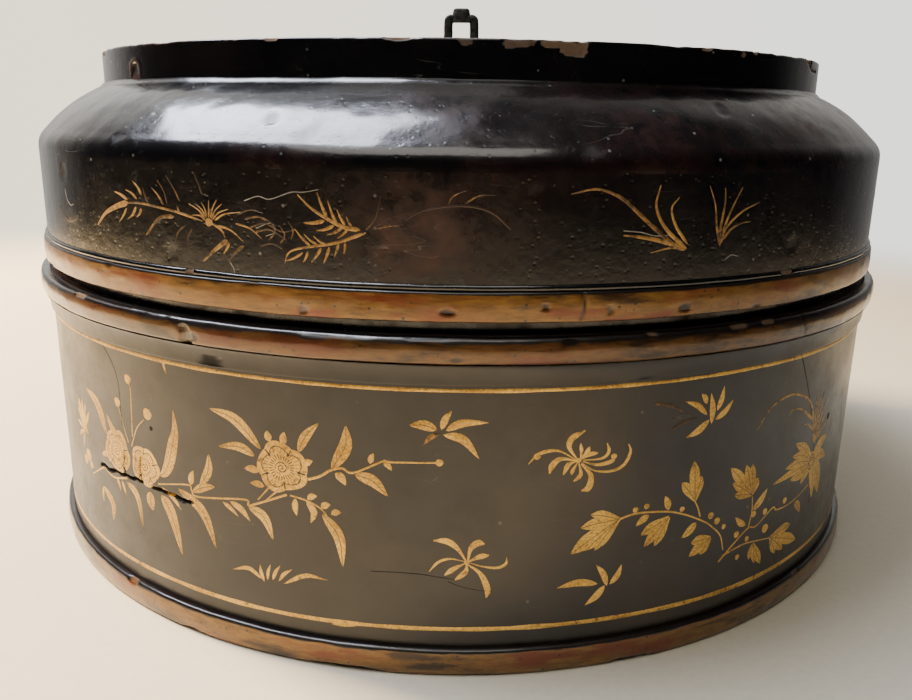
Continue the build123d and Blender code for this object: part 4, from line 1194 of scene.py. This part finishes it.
def laySmallSprigs(art):
    # bamboo-leaf sprigs, a spidery bloom, a curled star and a tuft of grass
    leaves = [(-5.4, 85.9, -9.8, 87.4, -14.2, 87.1, 3.2), (-4.1, 85.9, -3, 89.4, -0.9, 92.3, 2.2),
              (-2.7, 85.7, 2.3, 88.2, 10.5, 88.5, 2.6), (-3.5, 84.4, 2.7, 82.8, 7.8, 76.5, 2.8),
              (-4.5, 84.8, -7.4, 83.4, -9.6, 80.9, 1.8, 0.5), (88.8, 82.1, 88.7, 87.6, 87.5, 92.8, 2.4),
              (86.5, 85.5, 82.2, 89.2, 77.1, 91.3, 2.0), (86, 89.4, 85, 91.6, 83.5, 93.2, 2.0),
              (87.7, 83.6, 83.6, 80.4, 78.6, 78.5, 2.6), (90.8, 86.3, 92.4, 90.4, 93, 94.6, 2.2),
              (90.4, 83.2, 94.6, 85.6, 97.7, 89.2, 2.2), (64.6, 92, 71, 90.6, 77.7, 87.4, 1.4, 0.8),
              (71.5, 81.7, 76.8, 84, 82.3, 85.1, 1.4, 0.8), (49, 29.8, 42, 31, 34.8, 29.8, 2.6),
              (52.5, 28.6, 51, 33.1, 48.2, 36.9, 2.2), (53.5, 29, 56.2, 32, 57.5, 35.9, 2.2),
              (51.7, 28.8, 48.8, 25.2, 45, 22.3, 2.6), (-65.8, 27.1, -70.8, 30, -77.3, 28.2, 1.6),
              (-64.8, 26.3, -65.9, 29.3, -66.2, 32.3, 1.4), (-63.5, 27.1, -63.2, 30.2, -62.2, 33.2, 1.2),
              (-61.5, 27.5, -60.4, 30.6, -58.5, 33.4, 1.3), (-59.2, 27.5, -57.1, 30.6, -54.1, 32.8, 1.3),
              (-57.3, 26.9, -49.2, 31.3, -41.4, 30.8, 1.6)]
    drawAll(art.leaf, leaves)
    petals = [([(39.2, 75.4), (36.5, 79.4), (37.3, 82.5), (41.5, 84.8)], 2.2),
              ([(39.2, 74.9), (33.8, 78.2), (30, 78.6), (26.2, 77.4), (23.4, 74.4)], 1.3),
              ([(38.8, 74.9), (33.8, 75.7), (31.2, 73.6), (30.4, 70.9)], 2.2),
              ([(39.2, 74.6), (36.5, 73.6), (35, 70.2)], 1.8), ([(39.6, 74.2), (38.1, 71.7), (37.7, 70)], 1.4),
              ([(40, 73.8), (40.8, 69.8), (38.5, 67.7)], 1.6),
              ([(40.8, 73.6), (44.2, 69.4), (43.8, 65.2), (41.3, 64.2)], 2.4),
              ([(40.4, 75.5), (40.6, 78), (40.2, 80.5)], 1.3), ([(40.4, 75.5), (42.4, 77.2), (43.2, 79.2)], 1.8),
              ([(40.8, 75.2), (43.6, 76.6), (46.2, 76.9)], 1.6),
              ([(41.2, 74.8), (47.7, 74.9), (50, 77.1), (49.2, 80)], 1.2),
              ([(41.2, 74.4), (46.2, 72.8), (51.2, 73.6), (51.9, 74.9)], 1.5),
              ([(40.8, 74), (45.4, 70.9), (51.5, 70.2), (55.8, 72.1), (57.7, 76.3), (56.8, 79)], 1.2),
              ([(4.2, 41.3), (1.5, 45.5), (-1.9, 48), (-6.2, 48.2)], 2.2),
              ([(5, 41.3), (5.8, 45.5), (8.1, 47.5), (10.2, 47.1)], 2.4),
              ([(5.4, 40.9), (8.5, 42.5), (11.7, 43.1)], 2.0),
              ([(3.8, 40.9), (-0.8, 41.8), (-4.6, 40.5), (-7.5, 37.1)], 1.0),
              ([(5.8, 40.3), (10, 39), (14.6, 38.5), (17.3, 39.8), (17.5, 42.1)], 1.1),
              ([(4, 40.2), (0.4, 38.2), (-2.5, 35.9)], 1.8), ([(4.6, 39.8), (4.2, 37.1), (0.9, 34.2)], 2.0),
              ([(5, 39.8), (9.2, 36.3), (11.5, 30.9), (11.2, 27.7)], 2.2)]
    drawAll(art.petal, petals)
    drawAll(art.blob, ((39.8, 74.8, 0.9), (4.6, 40.5, 0.9), (26.2, 76.9, 1.1), (51.9, 75.2, 1.0)))


# The same three groups come again a third of the way round each way, drawn a little differently.
for side, turn, drift in (("Front", 0, 0.0), ("Right", 1, 3.0), ("Left", -1, 4.0)):
    drumArt = Painting(drumRadius, drumOffset)
    drumArt.shift, drumArt.drift = turn * math.tau * drumRadius / 3, drift
    for group in (layFlowerBranch, laySmallSprigs, layLobedBranch):
        group(drumArt)
    drumArt.finish("drumSprays" + side, "base", sprayGold)


# Two gilt lines round the drum: a flat ribbon with a soft edge.
def giltLine(name, body, radius, height, width, seed, drips=()):
    art = Painting(radius)
    s = np.arange(-math.pi * radius, math.pi * radius, 2.2)
    place = wrapped(s / radius, radius, 0 * s)
    middle = height + 0.35 * softNoise(place, 60, seed)
    half = width / 2 * (1 + 0.25 * softNoise(place, 9, seed + 1))
    side = ringAcross[None] * half[:, None]
    fade = np.clip(0.35 * softNoise(place, 40, seed + 2), 0, 1)[:, None] + 0 * side
    angle = s[:, None] / radius + 0 * side
    z = middle[:, None] + side
    out = radius + swell(angle, radius, z) + pillowHeight(paint["lift"])
    art.corners.append(wrapped(angle, out, z).reshape(-1, 3))
    art.faces += ringFaces(len(s), len(ringAcross), 0, closedRows=True)
    art.count = len(s) * len(ringAcross)
    for mark, values in art.marks.items():
        values.append({"across": side, "fade": fade}.get(mark, 0 * side).ravel())
    for spots, wide in drips:
        art.stroke(spots, wide, lambda t: 1 - 0.7 * t)
    return art.finish(name, body, sprayGold)


giltLine("upperGiltLine", "base", drumRadius, 99.0, 1.2, 121, [([(-103, 99), (-102.6, 97), (-101.7, 94.6)], 1.5)])
giltLine("lowerGiltLine", "base", drumRadius, 15.8, 1.6, 123, [([(-40, 15.2), (-36, 14.7), (-32, 15.1)], 1.6)])


def layLidPlants(art):
    # a fern, a small bloom, a second fern, a thin arc and two tufts of orchid leaves
    blades = [([(-81.7, 147), (-91.7, 149.1), (-100, 150.1), (-107.9, 150.8), (-115, 150.5), (-120.8, 149.1),
                (-128.3, 146.2), (-134.2, 141.8)], 1.0, 0.2),
              ([(-115, 150.6), (-120.8, 149.1), (-128.3, 146.2), (-134.2, 141.8)], 2.4, 0),
              ([(-115, 151.6), (-118.4, 153), (-121.7, 153.7)], 1.4, 0),
              ([(-110, 152), (-112.4, 153.8), (-115.4, 154.7)], 1.2, 0),
              ([(-107.5, 153.5), (-109.2, 156), (-111.5, 157.7)], 1.3, 0),
              ([(-104.4, 151), (-106, 153.8), (-106.7, 156.2)], 1.1, 0.7),
              ([(-97.5, 151), (-99.6, 153.8), (-102.5, 156.2)], 1.2, 0.3), ([(-91, 149.4), (-91.8, 151)], 1.0, 0.4),
              ([(-115.8, 148.7), (-118, 146), (-120.7, 143.8)], 1.0, 0),
              ([(-110.8, 149.5), (-112.6, 147), (-115, 145.5)], 1.4, 0),
              ([(-108.3, 149.1), (-109, 147.6), (-110.7, 146.3)], 1.4, 0),
              ([(-93.3, 147.7), (-100, 146.6), (-106.7, 140.8)], 1.6, 0.2)]
    for tip in ((-86.7, 152), (-83.8, 152), (-81.7, 152.8), (-78.8, 153.5), (-75.8, 153.8), (-73.8, 152.7),
                (-71.7, 151.2), (-67.5, 150.5), (-85.6, 148.6), (-74, 143.6)):
        blades.append(([(-79.2 * 0.8 + tip[0] * 0.2, 146.8 * 0.8 + tip[1] * 0.2),
                        ((-79.2 + tip[0]) / 2, (146.8 + tip[1]) / 2 + 0.9), tip], 0.8, 0))
    blades += [([(-77.5, 146.2), (-74.6, 144.8), (-73.3, 142.4)], 1.0, 0),
               ([(-76, 146), (-71, 144.8), (-66.7, 141.6)], 0.9, 0.1),
               ([(-69.2, 147), (-64.2, 145.8), (-60, 142.8)], 0.8, 0.2),
               ([(-81, 155), (-82.4, 158.4), (-84.2, 162)], 1.0, 0.85),
               ([(-72.5, 141.6), (-76.8, 138.8), (-82.1, 134.5)], 2.0, 0.1),
               ([(-72, 141), (-72.8, 139.2), (-74.2, 137.4)], 1.4, 0.1),
               ([(-66.7, 140.3), (-69.4, 138.4), (-72.5, 135.3)], 1.4, 0.3),
               ([(-28.8, 147), (-34.2, 147.8), (-42.5, 152), (-47.9, 156.6)], 1.6, 0),
               ([(-27.1, 146.2), (-36.7, 142.8), (-50, 140), (-52.9, 135.8)], 1.2, 0)]
    for base, tip, width, fade in (((-38.8, 150.3), (-41.7, 157.4), 1.3, 0), ((-35.8, 148.3), (-38.5, 155.2), 1.2, 0),
                                   ((-33.3, 148.3), (-35.7, 152.7), 1.1, 0), ((-31.3, 148), (-32.9, 150.8), 0.9, 0),
                                   ((-39.6, 149.3), (-46.3, 148.5), 1.6, 0), ((-36.7, 148), (-42.1, 146.3), 1.4, 0),
                                   ((-34.2, 147.4), (-39, 145.2), 1.3, 0), ((-32.5, 147.2), (-35.7, 144.3), 1.1, 0),
                                   ((-44.2, 141.6), (-49.2, 146.6), 1.1, 0.1), ((-42.1, 142.2), (-46.3, 145.2), 1.0, 0),
                                   ((-39.2, 142.2), (-43.2, 144.7), 1.0, 0), ((-46.7, 139.5), (-52.5, 136.6), 1.0, 0),
                                   ((-45, 139.9), (-46.7, 136.6), 1.1, 0), ((-40.8, 141.2), (-44, 136.8), 1.2, 0),
                                   ((-38.3, 141.6), (-40.2, 136.6), 1.2, 0), ((-35.4, 142.8), (-36.8, 138.7), 1.1, 0),
                                   ((-33.3, 143.3), (-33.8, 139.7), 1.0, 0)):
        blades.append((bowed(base, tip, -0.4), width, fade))
    blades += [([(15.8, 147.8), (10, 152.8), (1.7, 154.7), (-9.2, 153.3), (-15.4, 150.2)], 1.1, 0.75),
               ([(-24, 147.6), (-20.5, 148.4), (-17, 148.5)], 1.0, 0.5),
               ([(72.3, 141.2), (67.9, 142.4), (58.3, 149.5), (50, 156.2), (45, 158.7), (40, 159.7),
                  (32.9, 158.3)], 1.7, 0.25),
               ([(72, 141.3), (62.5, 144.1), (55, 145.5), (50, 146)], 1.8, 0),
               ([(72.3, 141.3), (64.2, 147.8), (60.4, 154.5), (61.4, 160.8)], 1.6, 0),
               ([(72.5, 142.8), (67.9, 148.3), (65.8, 153.7), (68.2, 157)], 1.3, 0),
               ([(72, 141), (66.7, 141.8), (59.6, 140.5)], 1.0, 0.1),
               ([(85.4, 141.6), (83.3, 147.8), (82, 154.5), (79.2, 160.3)], 1.1, 0.25),
               ([(84.8, 142), (85, 147.8), (85.8, 155), (85.4, 159.5)], 1.4, 0.2),
               ([(85.4, 142), (86.7, 147.8), (89.2, 153.7), (92.5, 159.5)], 1.3, 0.1),
               ([(85.8, 142.6), (87, 147), (93.3, 152), (100.8, 154.7)], 1.3, 0.1),
               ([(86.4, 143.6), (89.2, 146.6), (93.3, 148.3), (97.5, 148.7)], 1.1, 0.2),
               ([(-150, 142.4), (-156.7, 140.8), (-160.8, 141.2), (-165, 143.3), (-167.9, 145.3)], 1.0, 0.6)]
    for spots in ([(-66, 148.6), (-60.5, 149.4), (-55, 147)],
                  [(-64.5, 146), (-59, 147.6), (-53.5, 145.4), (-49, 146.2)],
                  [(-63, 144.6), (-57.5, 145.8), (-52, 143)], [(-58, 142.6), (-55.6, 145.2), (-57, 148), (-60, 148.8)],
                  [(-54, 141.8), (-52.4, 144.6), (-54.2, 147.2)], [(-50.4, 143.4), (-49.6, 146), (-51.2, 148.6)],
                  [(-68.5, 149.8), (-64, 151.4), (-59.4, 150.6)], [(-61, 140.6), (-57, 141.6), (-53.4, 140.2)],
                  [(-89, 145), (-92, 142.8), (-93.4, 139.6)], [(-86, 144.4), (-88, 141.4), (-88.2, 138.2)],
                  [(-99, 146.4), (-103, 144.2), (-105.4, 141)], [(-96, 151.6), (-97, 155.2), (-99.6, 158.6)],
                  [(-90.4, 152.6), (-92.6, 156.4), (-95.6, 160.2)], [(-27, 147), (-24, 151), (-22.6, 157)],
                  [(2, 155.4), (6, 157.6), (10.6, 157.8)], [(-3, 155), (-1.4, 157.4), (2.2, 159)]):
        blades.append((spots, 0.75, 0.45))
    for spots, width, fade in blades:
        art.blade(spots, width * 0.85, min(1, fade + 0.2))
    art.blob(-79.2, 146.8, 1.3)


lidArt = Painting(lidRadius)
for turn, drift in ((0, 0.0), (1, 2.5), (-1, 3.5)):
    lidArt.shift, lidArt.drift = turn * math.tau * lidRadius / 3, drift
    layLidPlants(lidArt)
lidArt.finish("lidSprays", "lid", lidGold)


# Hairline cracks: the same thin pillows, near black as painted shade, and hardly proud.
drumCracks = Painting(drumRadius, drumOffset)
for spots, width in (([(-26.5, 35.9), (-18, 36.2), (-10, 35.9), (-4.6, 35.1), (0.8, 34.4)], 0.35),
                     ([(-1.5, 33.6), (3, 31.7), (8, 30.6), (13, 30)], 0.3),
                     ([(-143, 100), (-140, 99), (-134, 94), (-130, 86), (-130, 70)], 0.5),
                     ([(133.8, 99.8), (139, 91), (144.6, 80.9), (149.2, 71.7), (154.6, 57), (157, 35)], 0.6),
                     ([(300, 96), (301.5, 80), (299, 62), (300.5, 40)], 0.5),
                     ([(-390, 40), (-370, 41.4), (-352, 40.2)], 0.5)):
    drumCracks.stroke(spots, width, lambda t: 1 - 0.4 * t, lift=0.04)
drumCracks.blob(166.9, 68.6, 1.5)
drumCracks.blob(-112, 72.8, 0.9)
drumCracks.finish("drumHairlines", "base", crackShade)


# Settled lint: short pale threads on the lid, hardly thicker than a hair.
lint = Painting(lidRadius)
for spots in ([(-65.8, 154), (-61, 155.6), (-57, 154.9), (-50, 157.2), (-46, 157.4), (-41.3, 158.3)],
              [(-72, 135), (-70.4, 132), (-71.6, 128.4), (-73.4, 126.8), (-72, 125.4)],
              [(-160, 152), (-158.6, 148.4), (-155.4, 146.6), (-152.6, 147.2)],
              [(50, 147.4), (56, 146.8), (61, 145.6), (67, 145.8)], [(88, 137), (90.5, 138.4), (93.6, 137.8)],
              [(-62, 146), (-57, 147.8), (-55.6, 145.2), (-58.8, 143.8)], [(210, 150), (216, 151.8), (221, 149.6)]):
    lint.stroke(spots, 0.30, lambda t: 1 - 0.4 * t, lift=0.06)
lint.finish("lintThreads", "lid", lintFluff)
print("gilt painted")


# Plain pale stone-coloured floor that fades out far from the box.
def paleFloor(name):
    material, tree, where = blankMaterial(name)
    far = put(tree, "VectorMath", {0: where}, operation="LENGTH")
    fade = put(tree, "MapRange", {0: far, 1: 0.6, 2: 1.15}, interpolation_type="SMOOTHSTEP")
    grain = put(tree, "TexNoise", {"Vector": where, "Scale": 1000 / 3, "Detail": 4.0})
    base = put(tree, "Mix", {0: grain, 6: colour("#cfc6b0"), 7: colour("#ddd4be")},
               data_type="RGBA")
    matt = put(tree, "BsdfPrincipled", {"Base Color": base, "Roughness": 0.5})
    clear = put(tree, "BsdfTransparent")
    put(tree, "OutputMaterial", {"Surface": put(tree, "MixShader", {0: fade, 1: matt, 2: clear})})
    return material


floorTurn = np.linspace(0, 2 * math.pi, 96, endpoint=False)[None, :]
floorOut = np.array([10.0, 200, 500, 900, 1300])[:, None]
floorPlaces = np.stack([floorOut * np.cos(floorTurn), floorOut * np.sin(floorTurn), -0.05 + 0 * floorOut * floorTurn],
                       axis=-1).reshape(-1, 3)
floorFaces = ringFaces(5, 96)[:-1]
floor = makeMesh("paleFloor", floorPlaces, floorFaces, paleFloor("paleStoneFloor"))


def softBox(name, place, turn, size, power, tint, mirrored=True):
    # faces straight down, turned by so many degrees, or faces the box when no turn is given
    lamp = bpy.data.lights.new(name, "AREA")
    lamp.shape = "RECTANGLE"
    lamp.size, lamp.size_y = size
    lamp.energy = power
    lamp.color = colour(tint)[:3]
    holder = bpy.data.objects.new(name, lamp)
    holder.location = place
    holder.visible_glossy = mirrored
    toBox = (Vector((0, 0, 0.1)) - Vector(place)).to_track_quat("-Z", "Y").to_euler()
    holder.rotation_euler = toBox if turn is None else (0, 0, math.radians(-turn))
    bpy.context.scene.collection.objects.link(holder)


softBox("ceiling", (-0.80, 0.12, 1.45), 36, (1.35, 0.60), 58, "#eaf0ff")
softBox("window", (-1.30, 0.55, 0.85), None, (0.4, 0.4), 150, "#ffd9a0", mirrored=False)
softBox("front fill", (-0.20, -0.85, 1.25), 0, (1.1, 0.8), 9, "#f4efe6")

# The room that the gloss mirrors: pale behind and to the left, dark in front and to the right.
world = bpy.data.worlds.new("studio")
bpy.context.scene.world = world
world.use_nodes = True
tree = world.node_tree
tree.nodes.clear()
direction = put(tree, "TexCoord").outputs["Generated"]
parts = put(tree, "SeparateXYZ", {0: direction})
behind = put(tree, "MapRange", {0: parts.outputs[1], 1: 0.25, 2: 0.9}, interpolation_type="SMOOTHSTEP")
above = put(tree, "MapRange", {0: parts.outputs[2], 1: 0.3, 2: 0.95, 3: 0.0, 4: 0.06})
glow = put(tree, "Math", {0: behind, 1: above}, operation="MAXIMUM")
leftward = put(tree, "MapRange", {0: parts.outputs[0], 1: 0.75, 2: -0.25, 3: 0.3, 4: 1.0},
               interpolation_type="SMOOTHSTEP")
glow = put(tree, "Math", {0: glow, 1: leftward}, operation="MULTIPLY")
raised = put(tree, "MapRange", {0: parts.outputs[2], 1: 0.0, 2: 0.45, 3: 0.6, 4: 1.5})
glow = put(tree, "Math", {0: glow, 1: raised}, operation="MULTIPLY")
room = put(tree, "Mix", {0: glow, 6: colour("#111319"), 7: colour("#e6e2da")}, data_type="RGBA",
           clamp_factor=False)
seen = put(tree, "LightPath").outputs["Is Camera Ray"]
# seen by the camera, the backdrop is warm on the left and cool on the right: painted window light and shade
backdrop = put(tree, "MapRange", {0: parts.outputs[0], 1: -0.5, 2: 0.5})
backdrop = put(tree, "Mix", {0: backdrop, 6: colour("#e6dbc0"), 7: colour("#d6d8d4")},
               data_type="RGBA")
shown = put(tree, "Mix", {0: seen, 6: room, 7: backdrop}, data_type="RGBA")
strength = put(tree, "MapRange", {0: seen, 3: 1.4, 4: 2.6})
back = put(tree, "Background", {"Color": shown, "Strength": strength})
put(tree, "OutputWorld", {"Surface": back})
print("stage set")

total = sum(len(p.data.loop_triangles) or sum(len(f.vertices) - 2 for f in p.data.polygons)
            for p in bpy.data.objects if p.type == "MESH" and not p.hide_render)
print("triangles", total)
